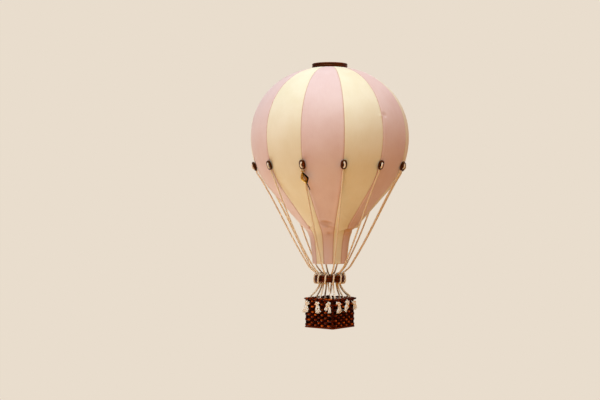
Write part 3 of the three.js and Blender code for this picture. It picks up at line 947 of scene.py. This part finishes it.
def uprights_shape(stakes, radius, above, seed, hollow):
    """Upright sticks at the stakes' places, from the floor to a little above the wall's top."""
    draw = np.random.default_rng(seed)
    shapes = []
    for stake in stakes:
        place, _ = on_basket(stake, 0)
        foot = place + (WALL_BOTTOM - 0.2) * UP
        shapes.append(stick_shape(foot, place + (WALL_TOP + above) * UP, radius, draw))
    # The whole stick is darkened by the given value, as painted shade
    return toned(joined(shapes), hollow=hollow)


# The rim: a thick pair of rods bent round the front corner, whose ends pass the side corners, and a thinner
# pair behind
RIM_HALF = BASKET_SIDE / 2 + 0.3
RIM_TWIST = 15
RIM_BEND = 3.2
RIM_STEP = 0.6
ROD_SIDES = 14

# Each pair's first side, radius, height, how far its ends pass the side corners, and tone
RIM_PAIRS = [(0, 1.75, RIM_Z, (2.4, 2.9), 0.4), (2, 1.45, RIM_Z + 0.2, (0.5, 0.5), 0.1)]

# As shares of a pair's radius, where its rods' middle lines run and how thick they are
ROD_PLACE = 0.42
ROD_RADIUS = 0.62


def rim_rod(first_side, radius, z, past, strand):
    """A pair of willow rods twisted along two basket sides, bent at the corner between them.

    Each rod turns round the pair's middle line once in each twist length, and is drawn in over the first
    twelfth of its way.
    """
    first, second = BASKET_TURN + 90 * first_side, BASKET_TURN + 90 * (first_side + 1)
    left = spot(first, RIM_HALF, -RIM_HALF - past[0], 0.0)
    corner = spot(first, RIM_HALF, RIM_HALF, 0.0)
    right = spot(second, RIM_HALF, RIM_HALF + past[1], 0.0)
    before = corner + unit(left - corner) * RIM_BEND
    after = corner + unit(right - corner) * RIM_BEND
    bend = quadratic(np.linspace(0, 1, 9)[:, None], before, corner, after)
    path = evenly(np.vstack([left, bend, right]), RIM_STEP)
    along = np.linspace(0, 1, len(path))
    path[:, 2] = z + 0.2 * np.sin(along * 11) + 0.1 * np.sin(along * 29)
    away = np.cross(unit(np.gradient(path, axis=0)), UP)
    taper = 0.35 + 0.65 * np.sqrt(np.clip(along / 0.08, 0, 1))
    towards_eye = 1 if first_side == 0 else -1
    rods = []
    for half in (0, 1):
        turn = (2 * np.pi * RIM_STEP * np.arange(len(path)) / RIM_TWIST + np.pi * half)[:, None]
        place = path + ROD_PLACE * radius * taper[:, None] * (np.cos(turn) * away + np.sin(turn) * UP)
        rod = swept(place, UP, round_section(ROD_RADIUS * radius * taper, ROD_SIDES))
        # Painted light: each rod is lighter where its twist turns towards the front, with painted shade where
        # it turns away and at its ends
        deep = np.repeat(0.5 - 0.5 * np.cos(turn[:, 0]) * towards_eye, ROD_SIDES)
        ends = np.ones(ROD_SIDES)
        rod["values"]["hollow"] = 0.55 * np.concatenate([ends, 1 - deep * 0.9, ends])
        rods.append(toned(rod, strand=strand + 0.2 * half))
    return joined(rods)


def rim_shape():
    """Both pairs of rim rods."""
    return joined([rim_rod(*pair) for pair in RIM_PAIRS])


FLOOR_HALF = BASKET_SIDE / 2 + 1.3
FLOOR_TOP = high("basket_floor")[2]
FLOOR_BOTTOM = low("basket_floor")[2]
FLOOR_SQUARENESS = 44
FLOOR_ROUNDING = 0.35


def floor_shape():
    """The base board: a rounded square whose outline is drawn in and dropped along a rounded edge."""
    angle = once_round(160)
    size = np.abs(np.cos(angle)) ** FLOOR_SQUARENESS + np.abs(np.sin(angle)) ** FLOOR_SQUARENESS
    reach = FLOOR_HALF / size ** (1 / FLOOR_SQUARENESS)
    edge = np.linspace(-np.pi / 2, np.pi / 2, 9)
    half = (FLOOR_TOP - FLOOR_BOTTOM) / 2
    inset = np.concatenate([[FLOOR_HALF, 14, 6], FLOOR_ROUNDING * (1 - np.cos(edge)), [6, 14, FLOOR_HALF]])
    rise = np.concatenate([[-half] * 3, half * np.sin(edge), [half] * 3])
    share = 1 - inset[:, None] / FLOOR_HALF
    side, out = share * reach * np.cos(angle), share * reach * np.sin(angle)
    z = (FLOOR_TOP + FLOOR_BOTTOM) / 2 + rise[:, None]
    return surface(spot(BASKET_TURN, out, side, z), hollow=0.1, strand=0.6)


# Charm: a jump ring on the cord of the third bead, and a pierced leaf that swings on it
CHARM_SEAM = 2
WIRE_RADIUS = 0.35
JUMP_RADIUS = 2.3
JUMP_ALONG = -7.8
JUMP_OFF = WIRE_RADIUS + 0.3
JUMP_TURNS = 0.985
CHARM_EYE_RADIUS = 1.05
LEAF_LEAN = math.radians(24)
LEAF_LENGTH = 14.5
LEAF_STEM = 8.2

# The leaf's two outlines, as shares of its length from the eye and distances from the midrib
LEAF_LEFT = [(0, 0.12, 0.3, 0.45, 0.62, 0.8, 0.92, 1), (0.6, 2.4, 4.1, 4.5, 3.7, 2.0, 1.0, 0.8)]
LEAF_RIGHT = [(0, 0.15, 0.35, 0.55, 0.63, 0.72, 0.86, 1), (0.6, 1.9, 3.3, 4.6, 4.9, 4.0, 2.0, 0.8)]
LEAF_POINTS = 60
LEAF_BLUR = {"reach": 3, "width": 2}
LEAF_FRONT = 0.25
LEAF_BACK = -0.45
RIB_HALF_WIDTH = 0.5
VEIN_PITCH = 2.6
VEIN_SLANT = 1.15
VEIN_HALF_WIDTH = 0.17
VEIN_HEIGHT = 0.36
BAR_WIDTH = 1.9


def hoop(centre, first, second, radius, turns=1.0):
    """A round wire bent into a circle in the plane of two directions."""
    t = np.linspace(0, 2 * np.pi * turns, 65)[:, None]
    path = centre + radius * (np.cos(t) * first + np.sin(t) * second)
    return swept(path, np.cross(first, second), round_section(WIRE_RADIUS, 12))


def charm_ring_shape():
    """The jump ring round the cord, open by a hair at its joint."""
    across, up, out, place = bead_frame(seam_azimuth(CHARM_SEAM))
    centre = place + JUMP_ALONG * up + (JUMP_OFF + JUMP_RADIUS) * out
    return hoop(centre, across, out, JUMP_RADIUS, JUMP_TURNS)


def leaf_strip(inner, outer, y, side, look):
    """A strip of the leaf between two distances from its midrib, dark in its hollows.

    Its front is a height field over the strip, its back is flat, and both meet at its two ends. The look is
    veined, barred, with a thick bar along the outer edge painted black as shade, or ribbed, for the midrib.
    """
    inner, outer, y = inner[:, None], outer[:, None], y[:, None]
    share = np.linspace(0, 1, 17)[None, :]
    x = inner + (outer - inner) * share
    from_edge = outer - x
    veins = VEIN_HEIGHT * bell(((y - VEIN_SLANT * x) / VEIN_PITCH) % 1 - 0.5, VEIN_HALF_WIDTH)
    if look == "veined":
        height = np.maximum(veins, 0.45 * bell(from_edge, 0.5) + 0.3 * bell(x - inner, 0.4))
        hollow = 0.4 - 1.2 * height
    elif look == "barred":
        height = np.maximum(0.75 * veins, 0.75 * bell(np.maximum(from_edge - 1.1, 0), 0.35))
        # Painted shade: a band along the outer edge is painted black
        hollow = np.where(from_edge < BAR_WIDTH, 1.0, 0.15 - 0.5 * height)
    else:
        height = 0.55 * np.cos((share - 0.5) * np.pi)
        hollow = 0.25
    front = stacked(side * x, y, LEAF_FRONT + height)
    back = stacked(side * x, y, LEAF_BACK)
    end = np.broadcast_to(((front + back) / 2).mean(axis=1, keepdims=True), front.shape)
    return slab(front, back, end, np.zeros(x.shape + (2,)), hollow=np.clip(hollow, 0, 1))


def leaf_shape():
    """The leaf: two pierced halves and a midrib that runs on as a thin stem, on an eye of wire."""
    azimuth = seam_azimuth(CHARM_SEAM)
    _, up, out, place = bead_frame(azimuth)
    pivot = place + JUMP_ALONG * up + (JUMP_OFF + 2 * JUMP_RADIUS) * out
    t = np.linspace(0, 1, LEAF_POINTS)
    y = -t * LEAF_LENGTH
    left = blurred(np.interp(t, *LEAF_LEFT) + 0.12 * np.cos(t * 44), **LEAF_BLUR)
    right = blurred(np.interp(t, *LEAF_RIGHT), **LEAF_BLUR)
    rib = np.full_like(t, RIB_HALF_WIDTH)
    slot = rib + 0.7 * np.sin(np.pi * np.clip((t - 0.25) / 0.5, 0, 1)) ** 0.7
    strips = [
        leaf_strip(np.minimum(slot, right * 0.8), right, y, 1, "barred"),
        leaf_strip(np.minimum(slot, left * 0.8), left, y, -1, "veined"),
        leaf_strip(-rib, rib, y, 1, "ribbed"),
    ]
    cos, sin = math.cos(LEAF_LEAN), math.sin(LEAF_LEAN)

    def hung(points):
        flat = points[..., :2] @ np.array([[cos, sin], [-sin, cos]])
        height = flat[..., 1] - CHARM_EYE_RADIUS
        return pivot + spot(azimuth, points[..., 2], flat[..., 0], height)

    for strip in strips:
        strip["points"] = hung(strip["points"])
    share = np.linspace(0, 1, 24)
    stem = stacked(0.5 * np.sin(share * 2.2), -LEAF_LENGTH + 0.6 - (LEAF_STEM + 0.6) * share, 0.0)
    stem_skin = swept(hung(stem), outwards(azimuth), round_section(0.72 - 0.25 * share, 12))
    eye = hoop(pivot, UP, outwards(azimuth), CHARM_EYE_RADIUS)
    return joined(strips + [toned(stem_skin, hollow=1), eye])


# Materials

def linear(hex_colour):
    """A linear colour from an sRGB hex value."""
    channels = [int(hex_colour[i:i + 2], 16) / 255 for i in (1, 3, 5)]
    return [c / 12.92 if c <= 0.04045 else ((c + 0.055) / 1.055) ** 2.4 for c in channels] + [1.0]


def add_node(tree, kind, values=None, links=None, stops=(), **options):
    """Adds a node with its options, the values of its sockets, and its links, each a node and its output.

    A colour ramp also takes its stops, each a place and a hex colour.
    """
    node = tree.nodes.new(kind)
    for option, setting in options.items():
        setattr(node, option, setting)
    for socket, value in (values or {}).items():
        node.inputs[socket].default_value = value
    for socket, (source, output) in (links or {}).items():
        tree.links.new(source.outputs[output], node.inputs[socket])
    while stops and len(node.color_ramp.elements) < len(stops):
        node.color_ramp.elements.new(0.5)
    for number, (place, colour) in enumerate(stops):
        node.color_ramp.elements[number].position = place
        node.color_ramp.elements[number].color = linear(colour)
    return node


def empty_tree(owner):
    """The node tree of a material or a world, with nothing in it."""
    owner.use_nodes = True
    owner.node_tree.nodes.clear()
    return owner.node_tree


def new_material(name, **values):
    """A material with its main shader, whose plain values are set on its own sockets."""
    material = bpy.data.materials.new(name)
    tree = empty_tree(material)
    values = {key.replace("_", " ").title().replace("Ior", "IOR"): value for key, value in values.items()}
    shader = add_node(tree, "ShaderNodeBsdfPrincipled", values)
    add_node(tree, "ShaderNodeOutputMaterial", links={"Surface": (shader, "BSDF")})
    return material, tree, shader


def stain(tree, shader, tone, shares, stops):
    """Colours a shader by a tone, a node and its output, to which shares of the piece's own values are added.

    The stops give the colours along the tone. The whole tone is handed back.
    """
    for value_name, share in shares.items():
        value = add_node(tree, "ShaderNodeAttribute", attribute_name=value_name)
        whole = add_node(tree, "ShaderNodeMath", {1: share}, {0: (value, "Fac"), 2: tone},
                         operation="MULTIPLY_ADD")
        tone = (whole, "Value")
    colour = add_node(tree, "ShaderNodeValToRGB", None, {"Fac": tone}, stops)
    tree.links.new(colour.outputs["Color"], shader.inputs["Base Color"])
    return tone


def emboss(tree, shader, pattern, strength, depth):
    """Gives a shader a pattern's factor as its relief, whose depth is in millimetres."""
    bump = add_node(tree, "ShaderNodeBump", {"Strength": strength, "Distance": depth * MM},
                    {"Height": (pattern, 0)})
    tree.links.new(bump.outputs["Normal"], shader.inputs["Normal"])


# A wave texture's bands repeat after this number divided by its scale
WAVE_PERIOD = 2 * math.pi / 20

# Threads lie about 0.45 mm apart; they are drawn 0.9 mm apart so that they show close up
THREAD_PITCH = 0.9
DYE_PATCH = 38
SLUB_WIDTH = 1.4


def woven_cotton(name, pale, deep, seam_and_shade_colour):
    """Plain-woven dyed cotton, pressed smooth: matt, shining a little at its edges, with a square weave."""
    material, tree, shader = new_material(
        name, roughness=0.88, sheen_weight=0.18, sheen_roughness=0.45, specular_ior_level=0.25)
    flat = add_node(tree, "ShaderNodeUVMap", uv_map="flat")
    weft, warp = (
        add_node(tree, "ShaderNodeTexWave",
                 {"Scale": WAVE_PERIOD / (THREAD_PITCH * MM), "Distortion": 0.6, "Detail": 1.0},
                 {"Vector": (flat, "UV")}, bands_direction=direction)
        for direction in ("X", "Y"))
    weave = add_node(tree, "ShaderNodeMath", None, {0: (weft, "Fac"), 1: (warp, "Fac")},
                     operation="MAXIMUM")
    place = add_node(tree, "ShaderNodeTexCoord")
    patches = add_node(tree, "ShaderNodeTexNoise",
                       {"Scale": 1 / (DYE_PATCH * MM), "Detail": 3.0, "Roughness": 0.55},
                       {"Vector": (place, "Object")})
    slubs_place = add_node(tree, "ShaderNodeMapping", {"Scale": (1.0, 0.12, 1.0)}, {"Vector": (flat, "UV")})
    slubs = add_node(tree, "ShaderNodeTexNoise", {"Scale": 1 / (SLUB_WIDTH * MM), "Detail": 2.0},
                     {"Vector": (slubs_place, "Vector")})
    mixed = add_node(tree, "ShaderNodeMath", {1: 0.2}, {0: (slubs, "Fac"), 2: (patches, "Fac")},
                     operation="MULTIPLY_ADD")
    cloth = add_node(tree, "ShaderNodeValToRGB", None, {"Fac": (mixed, "Value")},
                     [(0.38, deep), (0.74, pale)])
    # Seam colour: the sewn joint, widened on the neck as painted shade
    seam = add_node(tree, "ShaderNodeAttribute", attribute_name="seam")
    colour = add_node(tree, "ShaderNodeMix", {7: linear(seam_and_shade_colour)},
                      {0: (seam, "Fac"), 6: (cloth, "Color")}, data_type="RGBA")
    tree.links.new(colour.outputs[2], shader.inputs["Base Color"])
    emboss(tree, shader, weave, 0.3, 0.06)
    return material


def varnished_wood(name, stops, grain_width, gloss):
    """Close-grained wood, turned, stained dark red-brown and varnished: deep colour under a clear gloss."""
    material, tree, shader = new_material(
        name, roughness=0.36, specular_ior_level=gloss, specular_tint=linear("#ff9e4c"))
    place = add_node(tree, "ShaderNodeTexCoord")
    stretched = add_node(tree, "ShaderNodeMapping", {"Scale": (0.14, 1.0, 1.0)},
                         {"Vector": (place, "Object")})
    grain = add_node(tree, "ShaderNodeTexNoise",
                     {"Scale": 1 / (grain_width * MM), "Detail": 4.0, "Roughness": 0.6},
                     {"Vector": (stretched, "Vector")})
    stain(tree, shader, (grain, "Fac"), {"hollow": -0.6}, stops)
    emboss(tree, shader, grain, 0.25, 0.08)
    return material


# Willow fibres are about 0.2 mm wide and run along the cane; they are drawn far longer and wider than that,
# in stretches a metre and turns a cane
WILLOW_FIBRES = (140, 9, 1)
WILLOW_PATCH = 5
# The stain's colours; its darkest end also serves as painted shade and its brightest as painted highlight
WILLOW_STAIN_AND_PAINTED_LIGHT = [(0.0, "#020000"), (0.32, "#180200"), (0.6, "#641800"), (0.84, "#d66414")]


def stained_willow(name):
    """Peeled willow, woven damp, stained and varnished, with painted shade darkest where the canes cross."""
    material, tree, shader = new_material(
        name, roughness=0.34, specular_ior_level=0.3, specular_tint=linear("#ff7a24"))
    flat = add_node(tree, "ShaderNodeUVMap", uv_map="flat")
    stretched = add_node(tree, "ShaderNodeMapping", {"Scale": WILLOW_FIBRES}, {"Vector": (flat, "UV")})
    fibres = add_node(tree, "ShaderNodeTexNoise", {"Scale": 1.0, "Detail": 3.0},
                      {"Vector": (stretched, "Vector")})
    place = add_node(tree, "ShaderNodeTexCoord")
    patches = add_node(tree, "ShaderNodeTexNoise", {"Scale": 1 / (WILLOW_PATCH * MM), "Detail": 2.0},
                       {"Vector": (place, "Object")})
    peeled = add_node(tree, "ShaderNodeMath", {1: 0.35}, {0: (fibres, "Fac"), 2: (patches, "Fac")},
                      operation="MULTIPLY_ADD")
    # Painted light: the hollow value darkens the canes' edges and crossings and lightens their bulges
    stain(tree, shader, (peeled, "Value"), {"strand": 0.18, "hollow": -0.75}, WILLOW_STAIN_AND_PAINTED_LIGHT)
    emboss(tree, shader, fibres, 0.4, 0.1)
    return material


# Yarns lie about 0.3 mm apart along each ply; they are given as stretches a metre and turns a cord
CORD_YARNS = (420, 14, 1)
UNDYED_COTTON = [(0.1, "#efcba0"), (0.38, "#feecd2"), (0.6, "#fff6e8"), (0.82, "#fffcf6")]


def cotton_cord(name):
    """Undyed cotton, three plies twisted: matt and fibrous, with painted shade where the plies meet."""
    material, tree, shader = new_material(
        name, roughness=0.95, specular_ior_level=0.1, sheen_weight=0.2, sheen_roughness=0.8)
    flat = add_node(tree, "ShaderNodeUVMap", uv_map="flat")
    stretched = add_node(tree, "ShaderNodeMapping", {"Scale": CORD_YARNS}, {"Vector": (flat, "UV")})
    yarns = add_node(tree, "ShaderNodeTexNoise", {"Scale": 1.0, "Detail": 3.0},
                     {"Vector": (stretched, "Vector")})
    # The hollow value paints shade into the grooves between the plies
    stain(tree, shader, (yarns, "Fac"), {"hollow": -0.25}, UNDYED_COTTON)
    emboss(tree, shader, yarns, 0.5, 0.08)
    return material


BRASS_STAIN = 1.8
BLACKENED_BRASS = [(0.35, "#e0a03c"), (0.8, "#9a6420"), (1.0, "#080402")]


def antique_brass(name):
    """Cast brass, blackened and worn bright again on its high places."""
    material, tree, shader = new_material(name, metallic=1.0)
    place = add_node(tree, "ShaderNodeTexCoord")
    stains = add_node(tree, "ShaderNodeTexNoise", {"Scale": 1 / (BRASS_STAIN * MM), "Detail": 4.0},
                      {"Vector": (place, "Object")})
    tone = stain(tree, shader, (stains, "Fac"), {"hollow": 0.9}, BLACKENED_BRASS)
    rough = add_node(tree, "ShaderNodeMapRange",
                     {"From Min": 0.4, "From Max": 1.2, "To Min": 0.3, "To Max": 0.6}, {"Value": tone})
    tree.links.new(rough.outputs["Result"], shader.inputs["Roughness"])
    emboss(tree, shader, stains, 0.3, 0.1)
    return material


BEECH_STAIN = [(0.1, "#0c0100"), (0.42, "#220401"), (0.6, "#4a1204"), (0.8, "#94440f")]
RING_STAIN = [(0.2, "#080000"), (0.45, "#2a0601"), (0.62, "#7a2408"), (0.8, "#b8561a")]
BOARD_STAIN = [(0.2, "#280902"), (0.5, "#662207"), (0.8, "#924612")]

PINK_COTTON = woven_cotton("pink_cotton_woven", "#e8cac2", "#e1beb5", "#cb9585")
CREAM_COTTON = woven_cotton("cream_cotton_woven", "#f2e5c8", "#ebdbb8", "#cfa581")
TURNED_WOOD = varnished_wood("beech_stained_varnished", BEECH_STAIN, grain_width=1.6, gloss=0.75)
RING_WOOD = varnished_wood("beech_ring_stained", RING_STAIN, grain_width=1.6, gloss=0.4)
BOARD_WOOD = varnished_wood("birch_board_stained", BOARD_STAIN, grain_width=2.2, gloss=0.4)
WILLOW = stained_willow("willow_stained_varnished")
COTTON_CORD = cotton_cord("cotton_cord_twisted")
BRASS = antique_brass("brass_antiqued")


# Pieces

def build_envelope():
    """Twelve gores, pink and cream by turns, each a stretched sheet whose flat size follows the outline."""
    radius, _, along = envelope_outline()
    for index in range(SEAM_COUNT):
        kind, cotton = (("pink", PINK_COTTON), ("cream", CREAM_COTTON))[index % 2]
        name, node = numbered("cloth_gore", index), numbered("gore", index)
        piece = make_piece(name, gore_shape(index, kind), cotton, [node])


def build_beads_and_cords():
    """A bead and a cord on each seam."""
    for index in range(SEAM_COUNT):
        name, node = numbered("wooden_bead", index), numbered("bead", index)
        bead = bead_shape(seam_azimuth(index), STITCH_BOWS.get(index, 0))
        make_piece(name, bead, TURNED_WOOD, [node])
        name, node = numbered("cotton_cord", index), numbered("cord", index)
        make_piece(name, cord_shape(index), COTTON_CORD, [node])


def build_basket():
    """The weave, what it is woven on, the rim and the base board."""
    walls = [f"basket_wall_{side}" for side in ("front_left", "front_right", "back_right", "back_left")]
    posts = [f"basket_post_{corner}" for corner in ("left", "front", "right", "back")]
    corners = range(0, 4 * STAKES_A_SIDE, STAKES_A_SIDE)
    between = [stake for stake in range(4 * STAKES_A_SIDE) if stake not in corners]
    # Stakes and posts are darkened all over, as painted shade among the weavers
    stakes_shape = uprights_shape(between, STAKE_RADIUS, above=0.4, seed=8, hollow=0.85)
    posts_shape = uprights_shape(corners, POST_RADIUS, above=0.8, seed=9, hollow=0.5)
    make_piece("basket_weavers", walls_shape(), WILLOW, walls)
    make_piece("basket_stakes", stakes_shape, WILLOW, [])
    make_piece("basket_corner_posts", posts_shape, WILLOW, posts)
    make_piece("basket_rim_rods", rim_shape(), WILLOW, ["basket_rim"])
    make_piece("basket_base_board", floor_shape(), BOARD_WOOD, ["basket_floor"], crease=50)


def build_charm():
    """The jump ring on its cord, and the leaf on the body that swings."""
    make_piece("charm_jump_ring", charm_ring_shape(), BRASS, ["charm_ring"])
    leaf = leaf_shape()
    make_piece("charm_pierced_leaf", leaf, BRASS, ["charm_leaf"], body="charm", crease=50)


build_envelope()
build_beads_and_cords()
build_basket()
make_piece("turned_cap", cap_shape(), TURNED_WOOD, ["top_cap"], crease=50)
make_piece("turned_load_ring", ring_shape(), RING_WOOD, ["load_ring"])
build_charm()


# Stage, light and camera, in metres
ROOM_RADIUS = 3.4
ROOM_MIDDLE = -0.2
ROOM_HALF_HEIGHT = 2.2
ROOM_ROUNDNESS = 0.35


def build_stage():
    """A pale floor that turns up into a round wall and ceiling: a squarish ellipse turned round the axis."""
    polar = np.linspace(-np.pi / 2, np.pi / 2, 41)[:, None]
    azimuth = np.degrees(once_round(96))[None, :]
    radius = ROOM_RADIUS * power(np.cos(polar), ROOM_ROUNDNESS)
    z = ROOM_MIDDLE + ROOM_HALF_HEIGHT * power(np.sin(polar), ROOM_ROUNDNESS)
    shape = surface(spot(azimuth, radius, 0.0, z))
    mesh = bpy.data.meshes.new("pale_floor")
    mesh.from_pydata(shape["points"], [], shape["quads"])
    mesh.polygons.foreach_set("use_smooth", np.ones(len(mesh.polygons), bool))
    material = bpy.data.materials.new("pale_paper")
    tree = empty_tree(material)
    glow = add_node(tree, "ShaderNodeEmission", {"Color": linear("#e9ddcd"), "Strength": 1.0})
    add_node(tree, "ShaderNodeOutputMaterial", links={"Surface": (glow, "Emission")})
    mesh.materials.append(material)
    floor = put("pale_floor", mesh)
    floor.visible_diffuse = False
    floor.visible_glossy = False
    floor.visible_shadow = False


# The room's light: soft glows, each with its direction, how narrow it is, and its linear colour
ROOM = (0.11, 0.04, 0.02)
GLOWS = [
    ((0, -0.5, 0.87), 8, (2.5, 3.45, 4.15)),
    ((-0.43, 0.25, -0.87), 8, (3.5, 4.0, 3.7)),
    ((-0.43, -0.75, -0.5), 8, (1.6, 0.6, 0.0)),
    ((0.87, -0.5, 0), 8, (0.9, 0.62, 0.1)),
    ((0.5, 0.3, 0.8), 6, (0.75, 0.5, 0.4)),
    ((1, 0, 0), 8, (0.4, 0.0, 0.0)),
    ((0.1, 1, -0.1), 6, (0.95, 0.65, 0.55)),
    ((0, -1, 0), 8, (0.0, 0.14, 0.06)),
]
SOFTBOX_TOWARDS = (-0.36, -0.32, 0.88)
SOFTBOX_AIM = (0, 0, -0.14)
SOFTBOX_FAR = 1.6
SOFTBOX_ACROSS = 0.9
SOFTBOX_POWER = 13.0
SOFTBOX_COLOUR = (0.88, 0.955, 1.0)


def build_light():
    """An even room with a few soft glows round it, and one large softbox above on the left.

    A glow's brightness is the cosine of the angle to its direction, to the power of how narrow it is.
    """
    world = bpy.data.worlds.new("warm_room")
    bpy.context.scene.world = world
    tree = empty_tree(world)
    place = add_node(tree, "ShaderNodeTexCoord")
    total = add_node(tree, "ShaderNodeCombineXYZ", dict(zip("XYZ", ROOM)))
    for towards, narrow, colour in GLOWS:
        cosine = add_node(tree, "ShaderNodeVectorMath", {1: Vector(towards).normalized()},
                          {0: (place, "Generated")}, operation="DOT_PRODUCT")
        facing = add_node(tree, "ShaderNodeMath", {1: 0.0}, {0: (cosine, "Value")}, operation="MAXIMUM")
        bright = add_node(tree, "ShaderNodeMath", {1: narrow}, {0: (facing, "Value")}, operation="POWER")
        total = add_node(tree, "ShaderNodeVectorMath", {1: colour}, {0: (bright, "Value"), 2: (total, 0)},
                         operation="MULTIPLY_ADD")
    background = add_node(tree, "ShaderNodeBackground", {"Strength": 1.0}, {"Color": (total, 0)})
    add_node(tree, "ShaderNodeOutputWorld", None, {"Surface": (background, "Background")})

    key = bpy.data.lights.new("softbox", "AREA")
    key.shape = "DISK"
    key.size = SOFTBOX_ACROSS
    key.energy = SOFTBOX_POWER
    key.color = SOFTBOX_COLOUR
    lamp = put("softbox", key)
    away = Vector(SOFTBOX_TOWARDS).normalized()
    lamp.location = Vector(SOFTBOX_AIM) + away * SOFTBOX_FAR
    lamp.rotation_euler = (-away).to_track_quat("-Z", "Y").to_euler()


CAMERA_DISTANCE = 1.443
CAMERA_Z = -0.1707
CAMERA_REACH = 20
FOCAL_PIXELS = 1150
IMAGE_WIDTH = 600
AXIS_PIXEL = 329.8


def build_camera():
    """A level camera in front, whose shift puts the balloon's axis where the photograph has it."""
    lens = bpy.data.cameras.new("camera")
    lens.sensor_fit = "HORIZONTAL"
    lens.sensor_width = 36
    lens.lens = FOCAL_PIXELS * lens.sensor_width / IMAGE_WIDTH
    lens.shift_x = (IMAGE_WIDTH / 2 - AXIS_PIXEL) / IMAGE_WIDTH
    lens.clip_end = CAMERA_REACH
    camera = put("camera", lens)
    camera.location = (0, -CAMERA_DISTANCE, CAMERA_Z)
    camera.rotation_euler = (math.pi / 2, 0, 0)
    bpy.context.scene.camera = camera


build_stage()
build_light()
build_camera()
bpy.context.scene.view_settings.view_transform = "Standard"
bpy.context.scene.view_settings.look = "None"
